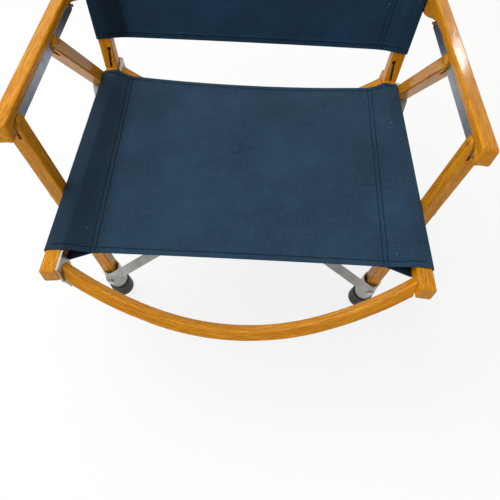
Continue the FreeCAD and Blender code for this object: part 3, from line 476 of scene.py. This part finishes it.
bow_half = rail_middle[0] - STOCK / 2 * math.cos(ROLL)
bow_radius = (bow_half ** 2 + BOW_SAG ** 2) / (2 * BOW_SAG)
for end, tilt in BOW_TILTS.items():
    plate_low, plate_high = box_corners(end + "_bow_bracket")
    up = np.array([0, math.sin(tilt), math.cos(tilt)])
    depth = np.array([0, math.cos(tilt), -math.sin(tilt)])
    hang = np.array([0, (plate_low[1] + plate_high[1]) / 2, rail_middle[2] + (STOCK / 2 - BOW_DOWN)])
    centre = hang + up * (bow_radius - BOW_SAG)
    bow_oak = oak(end + "_bow_oak", bent_grain, Centre=tuple(centre), Up=tuple(up), Depth=tuple(depth),
                  Radius=bow_radius)
    give(end + "_bow", bow_oak)
    give(end + "_bow_peg", bow_oak)
print("bows bent to a radius of", round(bow_radius, 3), "m")

# %% [markdown]
# ## Aluminium, steel, bronze and rubber
#
# The straps, sockets and brackets are satin aluminium: fine scratches along the bar and a few clouds of
# dullness. The strap lugs are darkened and browned, painted shade and a painted reflection of the oak, and
# the bow brackets are darkened and warmed, a painted reflection of darker, warmer surroundings. The tongues
# are nearly black, painted shade of their slots. Bolts and most rivets are brighter, and the arms' pins and
# rivets are dull bronze. The feet are dull rubber with scuffed rims.

# %% Metal and rubber finishes
METALS = (                      # ends of the nodes' names, colour, roughness, direction of the scratches
    (("_socket", "_spacers"), (0.40, 0.39, 0.365), 0.36, (0, 1, 0)),
    # darkened and browned: painted shade and a painted reflection of the oak
    (("_strap_lug",), (0.22, 0.20, 0.175), 0.44, (0, 1, 0)),
    # darkened and warmed: a painted reflection of darker, warmer surroundings
    (("_bow_bracket",), (0.36, 0.32, 0.27), 0.28, (0, 1, 0)),
    (("_arm_strip",), (0.44, 0.47, 0.53), 0.36, (0, 1, 0)),
    # nearly black: painted shade of the slot each tongue sits in
    (("_tongue",), (0.055, 0.048, 0.042), 0.45, (0, 0, 1)),
)
STRAP_COLOUR, STRAP_ROUGHNESS = (0.36, 0.36, 0.345), 0.34
BRONZE_ENDS = ("_arm_pin", "_arm_strip_rivets")
STEEL_ENDS = ("_pin", "_rivet", "_rivets", "_screws", "_bolts", "_nuts", "_washers")


def metal(name, colour, roughness, direction):
    """Satin metal with fine lines along a direction and soft clouds."""
    material, tree, shader = surface(name)
    place = object_place(tree)
    lines = place_group(tree, straight_grain, Place=place, Direction=direction)
    scratch = noise(tree, lines.outputs[0], 2600.0, 2.0)
    clouds = ramp(tree, noise(tree, place, 60.0, 3.0), 0.3, 0.75)
    dull = tuple(c * 0.78 for c in colour)
    tree.links.new(blend_colour(tree, clouds, colour, dull), shader.inputs["Base Color"])
    tree.links.new(grow(tree, roughness, scratch, 0.16), shader.inputs["Roughness"])
    shader.inputs["Metallic"].default_value = 1.0
    bump(tree, scratch, shader, 0.12, 0.00008)
    return material


def rubber():
    """Dull black rubber with greyer scuffs."""
    material, tree, shader = surface("foot_rubber")
    place = object_place(tree)
    scuffs = ramp(tree, noise(tree, place, 90.0, 5.0, 0.7), 0.48, 0.72)
    tree.links.new(blend_colour(tree, scuffs, (0.012, 0.0125, 0.0145), (0.034, 0.035, 0.036)),
                   shader.inputs["Base Color"])
    tree.links.new(grow(tree, 0.55, scuffs, 0.25), shader.inputs["Roughness"])
    bump(tree, noise(tree, place, 1400.0, 2.0), shader, 0.2, 0.0001)
    return material


def strap_run(name):
    """Direction of a strap, from corner to corner of its box."""
    low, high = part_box(name)
    run = Vector(high) - Vector(low)
    if name.endswith("left"):
        run.x = -run.x
    return tuple(run.normalized())


rubber_finish = rubber()
bright_steel = metal("bright_steel", (0.50, 0.50, 0.50), 0.22, (1, 0, 0))
bronze = metal("dull_bronze", (0.46, 0.235, 0.070), 0.50, (1, 0, 0))
for name in nodes:
    rows = [row[1:] for row in METALS if name.endswith(row[0])]
    if "_strap_to_" in name:
        rows = [(STRAP_COLOUR, STRAP_ROUGHNESS, strap_run(name))]
    if rows:
        give(name, metal(name + "_metal", *rows[0]))
    elif name.endswith("_foot"):
        give(name, rubber_finish)
    elif name.endswith(BRONZE_ENDS):
        give(name, bronze)
    elif name.endswith(STEEL_ENDS):
        give(name, bright_steel)
oaken = sum("oak" in node.data.materials[0].name for node in nodes.values())
print("oak on", oaken, "nodes, metal and rubber on", len(nodes) - oaken)

# %% [markdown]
# ## Two slings from one idea
#
# The seat and the back are the same piece of sewing: one sheet of canvas goes over a square bar, down its
# outer face, under it and back to a seam on its own underside. A cloth simulation would spend its time on
# a sheet that is pulled tight, where its shape is already known, so the surface is worked out directly. One
# direction of the grid follows the path round the bar, the other runs along the bar.

# %% A sling as a surface
CLOTH = 0.0011                  # thickness
BAR_AIR = 0.0009                # from the bar to the middle of the cloth
SLEEVE_HALF = STOCK / 2 + BAR_AIR
SLEEVE_ROUND = 0.0024           # rounding at the bar's corners
LAP = 0.007                     # cloth under the sheet, inside the seam
UNDER = 0.00118                 # depth of the lap's middle under the sheet's middle
DROP_END = 0.006                # the drop from the bar ends this far inside the seam
SHOULDER = 0.008                # first stretch of the sheet beside the bar's corner
RIDGE = (0.0055, -0.0085)       # close rows beside the seam, from outside it to inside it
WRAP_ROWS = [4, 14, 5, 14, 7, 4]  # of the lap, the three faces round the bar, its top and the shoulder
ARC_ROWS = 5
SLOPE_ROWS, RIDGE_ROWS, PANEL_ROWS = 6, 25, 58


class Sling:
    """Sheet between two mirrored bars; x is across the chair and v runs from 0 to 1 along the bars."""

    def __init__(self, start, run, length, face, normal, drop, sag, seams, inset, relief):
        self.start, self.run, self.length = np.array(start), np.array(run), length
        self.out, self.face, self.normal = rail_out, np.array(face), np.array(normal)
        self.drop, self.sag, self.seams, self.inset, self.relief = drop, sag, seams, inset, relief
        self.level = np.array([0, *self.run[1:]]) / np.linalg.norm(self.run[1:])

    def corner(self, v, a, b):
        """Middle line of the right bar, moved a outwards and b to its face, in half widths of the sleeve."""
        v = np.asarray(v)[..., None]
        return self.start + self.run * self.length * v + SLEEVE_HALF * (a * self.out + b * self.face)

    def seam(self, v):
        """Distance of the seam from the middle of the chair."""
        return self.seams[0] + (self.seams[1] - self.seams[0]) * np.asarray(v)

    def point(self, x, v):
        """Sheet at x: a drop from bar to seam, then a shallow hollow; past the bar's corner, its face."""
        x, v = np.broadcast_arrays(np.asarray(x, float), np.asarray(v, float))
        edge = self.corner(v, -1, 1)
        reach = edge[..., 0]
        share = np.clip(np.abs(x) / reach, 0, 1)
        place = edge.copy()
        place[..., 0] = np.abs(x)
        hollow = 1 - share ** 2
        near = np.clip((reach - np.abs(x)) / (reach - self.seam(v) + DROP_END), 0, 1)
        step = 1 - (1 - near) ** 2
        lift = -self.drop * step - self.sag * hollow + self.relief(x, v, share)
        place += lift[..., None] * self.normal
        front, rear = self.inset
        drawn = front * (1 - v) * (0.5 * step + 0.5 * hollow) - rear * v * hollow
        place += drawn[..., None] * self.level
        past = np.maximum(np.abs(x) - reach, 0) / self.out[0]
        place[..., 1:] += past[..., None] * self.out[1:]
        place[..., 0] *= np.where(x < 0, -1, 1)
        return place


def rounded_path(corners, cuts, counts):
    """Runs between corners (k, n, 3); a corner with a cut becomes an arc that starts so far from it."""
    steps = corners[1:] - corners[:-1]
    steps = steps / np.linalg.norm(steps, axis=-1, keepdims=True)
    bend = np.linspace(0, 1, ARC_ROWS + 2)[1:-1, None, None]
    rows = []
    for i, count in enumerate(counts):
        corner = corners[i + 1]
        begin, finish = corners[i] + steps[i] * cuts[i], corner - steps[i] * cuts[i + 1]
        share = np.linspace(0, 1, count)[1 if rows and cuts[i] == 0 else 0:, None, None]
        rows.append(begin + (finish - begin) * share)
        if i + 1 < len(counts) and cuts[i + 1] > 0:
            after = corner + steps[i + 1] * cuts[i + 1]
            rows.append((1 - bend) ** 2 * finish + 2 * bend * (1 - bend) * corner + bend ** 2 * after)
    return np.concatenate(rows)


def sling_grid(sling, v):
    """Right half from the lap's end round the bar to the middle, then its mirror image: (rows, n, 3)."""
    seam, reach = sling.seam(v), sling.corner(v, -1, 1)[:, 0]
    keys = [sling.point(seam - LAP, v) - UNDER * sling.normal, sling.point(seam, v) - UNDER * sling.normal]
    keys += [sling.corner(v, a, b) for a, b in ((-1, -1), (1, -1), (1, 1))]
    keys += [sling.point(reach, v), sling.point(reach - SHOULDER, v)]
    wrap = rounded_path(np.array(keys), [0, 0] + 4 * [SLEEVE_ROUND] + [0], WRAP_ROWS)
    slope = seam + RIDGE[0] + (reach - SHOULDER - seam - RIDGE[0]) * np.linspace(1, 0, SLOPE_ROWS)[1:, None]
    ridge = seam + np.linspace(*RIDGE, RIDGE_ROWS)[1:, None]
    middle = (seam + RIDGE[1]) * np.linspace(1, 0, PANEL_ROWS)[1:, None]
    x = np.concatenate([slope, ridge, middle])
    right = np.concatenate([wrap, sling.point(x, np.broadcast_to(v, x.shape))])
    left = right[::-1][1:] * np.array([-1, 1, 1])
    return np.concatenate([right, left])


def left_seam_painted_shade(grid, sling, v, reach, full, strength):
    """Share of painted shade beside the left seam: from reach inside it, it grows to full strength past it.
    """
    seam = sling.seam(v)[None, :]
    edge = sling.corner(v, -1, 1)[None, :, 0]
    share = (-grid[..., 0] - seam) / (edge - seam)
    inside = np.clip((share + reach) / (reach + full), 0, 1)
    inside = inside * inside * (3 - 2 * inside)
    return strength * inside * (1 - 0.45 * np.clip(share - 0.55, 0, 1))


print("sling surface ready, sleeve half width", SLEEVE_HALF * 1000, "mm")

# %% From a grid to a sheet with its own cloth coordinates
def steps_along(line):
    """Distance along a run of points (n, 3) from its first one."""
    return np.concatenate([[0], np.cumsum(np.linalg.norm(np.diff(line, axis=0), axis=-1))])


def cloth_mesh(name, grid, margin_shade, drop=None):
    """Mesh of a (rows, columns, 3) grid, with cloth coordinates in metres and the share of painted shade."""
    rows, columns = grid.shape[:2]
    number = np.arange(rows * columns).reshape(rows, columns)
    quads = np.stack([number[:-1, :-1], number[:-1, 1:], number[1:, 1:], number[1:, :-1]], -1)
    keep = np.ones(quads.shape[:2], bool) if drop is None else ~drop
    quads = quads[keep]
    data = bpy.data.meshes.new(name)
    used, packed = np.unique(quads, return_inverse=True)
    data.from_pydata(grid.reshape(-1, 3)[used].tolist(), [], packed.reshape(-1, 4).tolist())
    steps = np.linalg.norm(np.diff(grid, axis=0), axis=-1).mean(1)
    along = np.concatenate([[0], np.cumsum(steps)])
    across = steps_along(grid[rows // 2])
    flat = np.stack(np.broadcast_arrays(along[:, None], across[None, :]), -1).reshape(-1, 2)
    data.attributes.new("margin_shade", "FLOAT", "POINT").data.foreach_set("value", margin_shade.reshape(-1)[used])
    layer = data.uv_layers.new(name="cloth")
    layer.data.foreach_set("uv", flat[quads.reshape(-1)].ravel())
    data.polygons.foreach_set("use_smooth", np.ones(len(quads), bool))
    data.update()
    return data, (float(along[-1]), float(across[-1]))


def piece(name, data, body, material):
    """Object at the origin that rides on a body and wears a material."""
    thing = bpy.data.objects.new(name, data)
    scene.collection.objects.link(thing)
    data.materials.append(material)
    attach(thing, body)
    return thing


def thicken(thing):
    shell = thing.modifiers.new("cloth_thickness", "SOLIDIFY")
    shell.thickness = CLOTH
    shell.offset = 0
    shell.use_even_offset = False


print("sheet helpers ready")

# %% [markdown]
# ## Canvas and thread
#
# Canvas is a plain weave: each thread goes over one and under the next. Two sine waves across each other
# make that height, and their product says which thread is on top. Uneven yarn, a slow drift of the dye
# and a little fading keep it from looking printed, and the weave's hollows are darkened as painted shade.
# All of it follows the cloth's own coordinates, so it turns over the bars with the cloth. Beside the left
# seams the colour is darkened as painted shade, and the back's canvas is a darker copy of the seat's, also
# painted shade.

# %% Weave group, canvas and thread
THREADS = 1250.0                # per metre, both ways
LINT = (0.42, 0.44, 0.45)
CANVAS_LEVELS = {"Specular IOR Level": 0.16, "Sheen Weight": 0.02, "Sheen Roughness": 0.5}
THREAD_LEVELS = {"Roughness": 0.6, "Specular IOR Level": 0.08}
SEAT_DYES = ((0.0070, 0.0250, 0.051), (0.0145, 0.0450, 0.083), (0.036, 0.082, 0.125))
# The back's dyes are a darker copy of the seat's: painted shade over the whole back sling.
SHADED_BACK_DYES = ((0.0035, 0.0180, 0.042), (0.0080, 0.0350, 0.074), (0.020, 0.062, 0.110))
MARGIN_SHADE_DEPTH = 0.16             # the painted shade's colour, as a share of the dark dye


def weave_group():
    """Height and yarn shade of a plain weave: ridges both ways, swapped where their product changes sign."""
    group, start, end = new_group("plain_weave", [("Vector", "Cloth", None), ("Float", "Threads", THREADS)],
                                  [("Float", "Height"), ("Float", "Yarn")])
    place, threads = start.outputs[0], start.outputs[1]
    wobble = number_math(group, "SUBTRACT", noise(group, place, 55.0, 2.0), 0.5)
    drift = vector_math(group, "SCALE", place, scale=grow(group, 1.0, wobble, 0.004))
    split = group.nodes.new("ShaderNodeSeparateXYZ")
    group.links.new(drift, split.inputs[0])
    waves = []
    for axis in ("X", "Y"):
        turns = number_math(group, "MULTIPLY", split.outputs[axis], threads)
        waves.append(number_math(group, "SINE", number_math(group, "MULTIPLY", turns, math.pi)))
    over = ramp(group, number_math(group, "MULTIPLY", *waves), -0.25, 0.25)
    ridges = [number_math(group, "ABSOLUTE", wave) for wave in waves]
    first = number_math(group, "MULTIPLY", ridges[0], over)
    second = number_math(group, "MULTIPLY", ridges[1], number_math(group, "SUBTRACT", 1.0, over))
    yarns = [noise(group, vector_math(group, "MULTIPLY", place, stretch), 1.0, 2.0)
             for stretch in ((40.0, 900.0, 1.0), (900.0, 40.0, 1.0))]
    group.links.new(number_math(group, "ADD", first, second), end.inputs[0])
    group.links.new(number_math(group, "MULTIPLY", number_math(group, "ADD", *yarns), 0.5), end.inputs[1])
    return group


plain_weave = weave_group()


def canvas(name, dark, blue, faded):
    """Canvas from three shades: the dark dye, the usual blue, and where sun and rubbing have paled it; the
    dark dye also makes painted shade.
    """
    material, tree, shader = surface(name)
    cloth = tree.nodes.new("ShaderNodeUVMap")
    cloth.uv_map = "cloth"
    place = cloth.outputs[0]
    weave = place_group(tree, plain_weave, Cloth=place)
    slow = ramp(tree, noise(tree, place, 9.0, 3.0, 0.6), 0.34, 0.68)
    worn = ramp(tree, noise(tree, place, 42.0, 5.0, 0.7), 0.56, 0.80)
    yarn = ramp(tree, weave.outputs["Yarn"], 0.36, 0.64)
    lint = ramp(tree, noise(tree, place, 420.0, 0.0), 0.905, 0.925)
    colour = blend_colour(tree, slow, dark, blue)
    colour = tint(tree, colour, faded, yarn, 0.42)
    colour = tint(tree, colour, faded, worn, 0.22)
    # Painted shade: the weave's hollows are darkened towards the dark dye.
    colour = tint(tree, colour, dark, number_math(tree, "SUBTRACT", 1.0, weave.outputs["Height"]), 0.45)
    # Painted shade: the colour is darkened beside the left seams, by the mesh's own attribute.
    margin_shade = tree.nodes.new("ShaderNodeAttribute")
    margin_shade.attribute_name = "margin_shade"
    margin_shade_share = number_math(tree, "MULTIPLY", margin_shade.outputs["Fac"], grow(tree, 0.72, slow, 0.28))
    colour = blend_colour(tree, margin_shade_share, colour, tuple(c * MARGIN_SHADE_DEPTH for c in dark))
    tree.links.new(tint(tree, colour, LINT, lint, 0.7), shader.inputs["Base Color"])
    tree.links.new(grow(tree, 0.78, yarn, 0.14), shader.inputs["Roughness"])
    bump(tree, weave.outputs["Height"], shader, 0.55, 0.00022)
    set_levels(shader, CANVAS_LEVELS)
    return material


def thread_finish():
    """Nearly black navy thread with a lighter twist."""
    material, tree, shader = surface("seam_thread")
    twist = ramp(tree, noise(tree, object_place(tree), 2400.0, 2.0), 0.4, 0.65)
    tree.links.new(blend_colour(tree, twist, (0.0020, 0.0026, 0.0052), (0.0065, 0.0080, 0.0135)),
                   shader.inputs["Base Color"])
    set_levels(shader, THREAD_LEVELS)
    return material


seat_cloth = canvas("seat_navy_canvas", *SEAT_DYES)
shaded_back_cloth = canvas("back_navy_canvas_shaded", *SHADED_BACK_DYES)
seam_thread = thread_finish()
print("canvas and thread:", seat_cloth.name, shaded_back_cloth.name, seam_thread.name)

# %% [markdown]
# ## Stitches
#
# A machine stitch shows as a short thread that comes out of the cloth, lies on it and goes back in. Each
# is a tiny tube on an arched line, closed at both ends. All stitches of a sling are one array, because a
# chair has hundreds of them.

# %% Stitches as small arched tubes
STITCH = 0.0029
STITCH_GAP = 0.0009
THREAD = 0.00052                # radius of the thread in the middle of a stitch
THREAD_END = 0.35               # share of that radius at the stitch's ends
THREAD_RISE = 0.00028           # height of the arch
THREAD_LIE = 0.35               # the thread lies this share of its radius above the cloth
RINGS, SIDES = 6, 5             # of each tube
SEAM_ROW = 0.0028               # a row of stitches lies this far to either side of a seam
SEAM_END, HEM_END = 0.002, 0.001  # bare ends of the rows
HEM = 0.0075                    # from the sheet's edge to the hem's row
HEM_PAST_BAR = 0.013            # the hem's row goes on so far down the bar's outer face


def unit(rows):
    return rows / np.linalg.norm(rows, axis=-1, keepdims=True)


def stitch_line(sling, bare, across):
    """Ends of each stitch on the sheet along x(s), v(s) for s from 0 to 1, evenly spaced: (n, 2, 3)."""
    run = sling.point(*across(np.linspace(0, 1, 600)))
    length = steps_along(run)
    begin = np.arange(bare, length[-1] - bare - STITCH, STITCH + STITCH_GAP)
    lift = sling.normal * (CLOTH / 2 + THREAD * THREAD_LIE)
    return np.stack([np.stack([np.interp(at, length, run[:, k]) for k in range(3)], -1) + lift
                     for at in (begin, begin + STITCH)], 1)


def stitch_mesh(name, ends, normal):
    """Tubes whose line rises by sin(pi s) and whose radius falls to both ends."""
    share = np.linspace(0, 1, RINGS)
    arch = np.sin(math.pi * share)
    line = ends[:, :1] + (ends[:, 1:] - ends[:, :1]) * share[None, :, None]
    line = line + (THREAD_RISE * arch)[None, :, None] * normal
    ahead = unit(ends[:, 1] - ends[:, 0])
    side = unit(np.cross(ahead, normal))
    angle = (np.arange(SIDES) * 2 * math.pi / SIDES)[None, None, :, None]
    radius = THREAD * (THREAD_END + (1 - THREAD_END) * arch ** 0.5)
    ring = side[:, None, None] * np.cos(angle) + normal * np.sin(angle)
    points = line[:, :, None] + ring * radius[None, :, None, None]
    number = np.arange(len(ends) * RINGS * SIDES).reshape(-1, RINGS, SIDES)
    turn = np.roll(number, -1, axis=2)
    walls = np.stack([number[:, :-1], turn[:, :-1], turn[:, 1:], number[:, 1:]], -1).reshape(-1, 4)
    caps = np.concatenate([number[:, 0, ::-1], number[:, -1]])
    data = bpy.data.meshes.new(name)
    data.from_pydata(points.reshape(-1, 3).tolist(), [], walls.tolist() + caps.tolist())
    data.polygons.foreach_set("use_smooth", np.ones(len(data.polygons), bool))
    return data


def sling_stitches(sling):
    """Double rows along both seams and a row along both hems."""
    lines = []
    for side in (-1, 1):
        for beside in (-SEAM_ROW, SEAM_ROW):
            lines.append(stitch_line(sling, SEAM_END, lambda s: (side * (sling.seam(s) + beside), s)))
    reach = float(sling.corner(0.0, -1, 1)[0]) + HEM_PAST_BAR
    for v in (HEM / sling.length, 1 - HEM / sling.length):
        lines.append(stitch_line(sling, HEM_END, lambda s: (reach * (2 * s - 1), np.full_like(s, v))))
    return np.concatenate(lines)


print("stitches ready:", round((STITCH + STITCH_GAP) * 1000, 1), "mm apart")

# %% [markdown]
# ## Folds, puckers and hems
#
# Both sheets carry the same small marks. The lap lifts the cloth beside a seam, and each row of stitches
# pulls a groove. The seams pucker where the thread has shrunk, the hems are one layer thicker, and a few
# soft folds run from the corners to the middle, where people sit.

# %% Relief of a sheet
FOLD_LENGTH = 0.342             # length of sheet that v stands for in a fold's measures
PUCKER_PITCH, PUCKER_HEIGHT, PUCKER_FADE = 0.0095, 0.00022, 0.008
LAP_OUTSIDE = 0.0045            # the lap's lift ends this far outside the seam
LAP_LIFT = 0.00035
ROW_PULL, ROW_HALF = 0.00042, 0.0007  # depth and half width of a row's groove
HEM_WIDE, HEM_LIFT = 0.0095, 0.00045
SOFT_STEP = 0.0012              # width of the lap's and the hem's steps
ROW_STEP, LEAST_STEP = 0.003, 0.0003  # usual and least distance between rows
HEM_ROWS = np.array([0, 0.0006, 0.003, 0.006, 0.0087, 0.0092, 0.0097, 0.0102, 0.012])
HOLE_ROWS = np.linspace(-0.012, 0.012, 17)


def fold(x, v, centre, angle, width, length, height):
    """Soft ridge: a bell across a line at an angle, faded along it by a second bell."""
    a, b = x - centre[0], (v - centre[1]) * FOLD_LENGTH
    along = a * math.cos(angle) + b * math.sin(angle)
    aside = -a * math.sin(angle) + b * math.cos(angle)
    return height * np.exp(-(aside / width) ** 2 - (along / length) ** 2)


def pucker(x, v, seam, length):
    """Ripples of uneven spacing along a seam that fade beside it."""
    near = np.exp(-((np.abs(x) - seam) / PUCKER_FADE) ** 2)
    wave = 2 * math.pi * v * length / PUCKER_PITCH + 1.7 * np.sin(11 * v + np.sign(x))
    return PUCKER_HEIGHT * near * np.sin(wave)


def seam_ridge(x, seam):
    """The lap under the sheet lifts it a little, and each row of stitches pulls a groove."""
    beside = np.abs(x) - seam
    up, down = ((beside + LAP) / SOFT_STEP, (LAP_OUTSIDE - beside) / SOFT_STEP)
    lap = LAP_LIFT * np.clip(up, 0, 1) * np.clip(down, 0, 1)
    rows = sum(np.exp(-((beside - row) / ROW_HALF) ** 2) for row in (-SEAM_ROW, SEAM_ROW))
    return lap - ROW_PULL * rows


def hem_step(v, length):
    """The folded hem is one layer thicker, with a soft step."""
    from_edge = np.minimum(v, 1 - v) * length
    return HEM_LIFT * (1 - np.clip((from_edge - HEM_WIDE) / SOFT_STEP + 0.5, 0, 1))


def sheet_relief(folds, seams, length):
    """Height of a sheet over its plain surface, from its folds and the places of its seams."""
    def relief(x, v, share):
        free = np.clip(1 - share ** 6, 0, 1)
        seam = seams[0] + (seams[1] - seams[0]) * v
        soft = sum(fold(x, v, *line) for line in folds)
        marks = free * (soft + pucker(x, v, seam, length) + seam_ridge(x, seam))
        return marks + hem_step(v, length) * (share < 0.9999)
    return relief


def stations(length, marks=()):
    """Even steps with closer ones at the hems and round marks, as shares of the length."""
    even = np.linspace(0, length, int(length / ROW_STEP))
    near = [mark + HOLE_ROWS for mark in marks]
    every = np.unique(np.concatenate([even, HEM_ROWS, length - HEM_ROWS, *near]).round(5))
    every = every[(every >= 0) & (every <= length)]
    return every[np.concatenate([[True], np.diff(every) > LEAST_STEP])] / length


print("relief ready: puckers every", PUCKER_PITCH * 1000, "mm")

# %% [markdown]
# ## The seat sling
#
# The sheet drops from each rail to its seam and is nearly flat between the two, about 12 mm under the
# rails. Its front and rear edges draw in a little, as cloth does when it is pulled sideways.

# %% Seat sling
SEAT_SEAMS = (0.170, 0.181)     # from the middle of the chair, in front and behind
SEAT_DROP, SEAT_SAG = 0.0095, 0.003
SEAT_INSET = (0.0075, 0.0075)   # of the front and rear edges, at the middle
SEAT_FOLDS = (                  # centre as x and v, angle, width, length, height
    ((-0.045, 0.60), -0.65, 0.026, 0.11, 0.0016),
    ((0.055, 0.44), -0.55, 0.020, 0.08, -0.0015),
    ((0.09, 0.72), 0.9, 0.030, 0.09, 0.0011),
    ((-0.10, 0.25), 0.35, 0.028, 0.08, -0.0010),
)

seat_depth = float(sling_high[1] - sling_low[1])
seat_start = np.array([rail_middle[0], sling_low[1], rail_middle[2]])
seat = Sling(seat_start, (0, 1, 0), seat_depth, rail_up, (0, 0, 1.0), SEAT_DROP, SEAT_SAG, SEAT_SEAMS,
             SEAT_INSET, sheet_relief(SEAT_FOLDS, SEAT_SEAMS, seat_depth))
print("seat sling depth", round(seat_depth * 1000, 1), "mm, hollow", (SEAT_DROP + SEAT_SAG) * 1000, "mm")

# %% The seat's sheet, holes and stitches
HOLE_RADIUS = 0.009             # round each leg bolt
HOLE_RIM = 0.0007               # corners of the grid this near to the rim are moved onto it
WASHER_RADIUS = 0.0075
SEAT_MARGIN_SHADE = (0.8, 0.45, 0.66)  # painted shade beside the left seam: reach inside the seam, full strength past it, strength


def bolt_holes(grid, sling, marks):
    """Cells of the outer faces inside a bolt's round hole; corners close to its rim are moved onto it."""
    flip = np.where(grid[..., :1] < 0, -1.0, 1.0) * np.array([1, 0, 0]) + np.array([0, 1, 1])
    local = grid * flip
    along = local[..., 1] - sling.start[1]
    offset = local - sling.start - sling.run * along[..., None]
    high = offset @ sling.face
    outer = offset @ sling.out > SLEEVE_HALF * 0.97
    inside = np.zeros(grid.shape[:2], bool)
    for mark in marks:
        far = np.hypot(along - mark, high)
        rim = outer & (np.abs(far - HOLE_RADIUS) < HOLE_RIM)
        push = np.where(rim, HOLE_RADIUS / np.maximum(far, 1e-6) - 1, 0)[..., None]
        grid = grid + push * ((along - mark)[..., None] * sling.run + high[..., None] * sling.face) * flip
        inside |= outer & (far < HOLE_RADIUS - 0.0001)
    return grid, inside[:-1, :-1] | inside[1:, :-1] | inside[:-1, 1:] | inside[1:, 1:]


washer_low, washer_high = box_corners("leg_washers")
bolt_marks = [float(washer_low[1] + WASHER_RADIUS - sling_low[1]),
              float(washer_high[1] - WASHER_RADIUS - sling_low[1])]
seat_v = stations(seat_depth, bolt_marks)
seat_grid, seat_holes = bolt_holes(sling_grid(seat, seat_v), seat, bolt_marks)
seat_mesh, seat_flat = cloth_mesh("seat_canvas", seat_grid, left_seam_painted_shade(seat_grid, seat, seat_v, *SEAT_MARGIN_SHADE),
                                  seat_holes)
seat_canvas = piece("seat_canvas", seat_mesh, "frame", seat_cloth)
thicken(seat_canvas)
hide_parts("seat_sling")
seat_ends = sling_stitches(seat)
seat_stitches = piece("seat_stitches", stitch_mesh("seat_stitches", seat_ends, seat.normal), "frame",
                      seam_thread)
print("seat cut", [round(v, 3) for v in seat_flat], "m,", len(seat_ends), "stitches")

# %% [markdown]
# ## The back sling
#
# The back is the same surface again, with the posts as its bars. They lean outwards and backwards, so the
# sheet is wider at the top than at the bottom, and the cut follows. It bows back a few millimetres where
# a sitter's back has stretched it.

# %% Back sling
BACK_LOWER = 0.002              # the sheet starts this far under its CAD box
BACK_SEAM = 0.042               # from the sleeve's outer edge to the seam
BACK_DROP, BACK_SAG = 0.006, 0.002
BACK_INSET = (0.001, 0.003)     # of the lower and upper edges, at the middle
BACK_MARGIN_SHADE = (1.0, 0.25, 0.97)  # painted shade beside the left seam, as for the seat
BACK_FOLDS = (
    ((0.05, 0.35), 0.5, 0.035, 0.12, 0.0014),
    ((-0.09, 0.6), -0.8, 0.03, 0.10, -0.0012),
)

back_low, back_high = box_corners("back_sling")
post_middle = sum(box_corners("right_back_post")) / 2
lift = SLEEVE_HALF * post_front[2]
bottom, top = float(back_low[2]) + lift - BACK_LOWER, float(back_high[2]) - lift
back_start = post_middle + post_rise * (bottom - post_middle[2]) / post_rise[2]
back_height = (top - bottom) / float(post_rise[2])
level = np.array([0, post_rise[1], post_rise[2]]) / math.hypot(post_rise[1], post_rise[2])
back_normal = np.array([0, -level[2], level[1]])
outer_edge = [float((back_start + post_rise * back_height * v + SLEEVE_HALF * rail_out)[0]) for v in (0, 1)]
back_seams = (outer_edge[0] - BACK_SEAM, outer_edge[1] - BACK_SEAM)
back_rest = Sling(back_start, post_rise, back_height, post_front, back_normal, BACK_DROP, BACK_SAG,
                  back_seams, BACK_INSET, sheet_relief(BACK_FOLDS, back_seams, back_height))
back_v = stations(back_height)
back_grid = sling_grid(back_rest, back_v)
back_mesh, back_flat = cloth_mesh("back_canvas", back_grid,
                                  left_seam_painted_shade(back_grid, back_rest, back_v, *BACK_MARGIN_SHADE))
back_canvas = piece("back_canvas", back_mesh, "backrest", shaded_back_cloth)
thicken(back_canvas)
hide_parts("back_sling")
back_ends = sling_stitches(back_rest)
back_stitches = piece("back_stitches", stitch_mesh("back_stitches", back_ends, back_normal), "backrest",
                      seam_thread)
print("back cut", [round(v, 3) for v in back_flat], "m,", len(back_ends), "stitches")
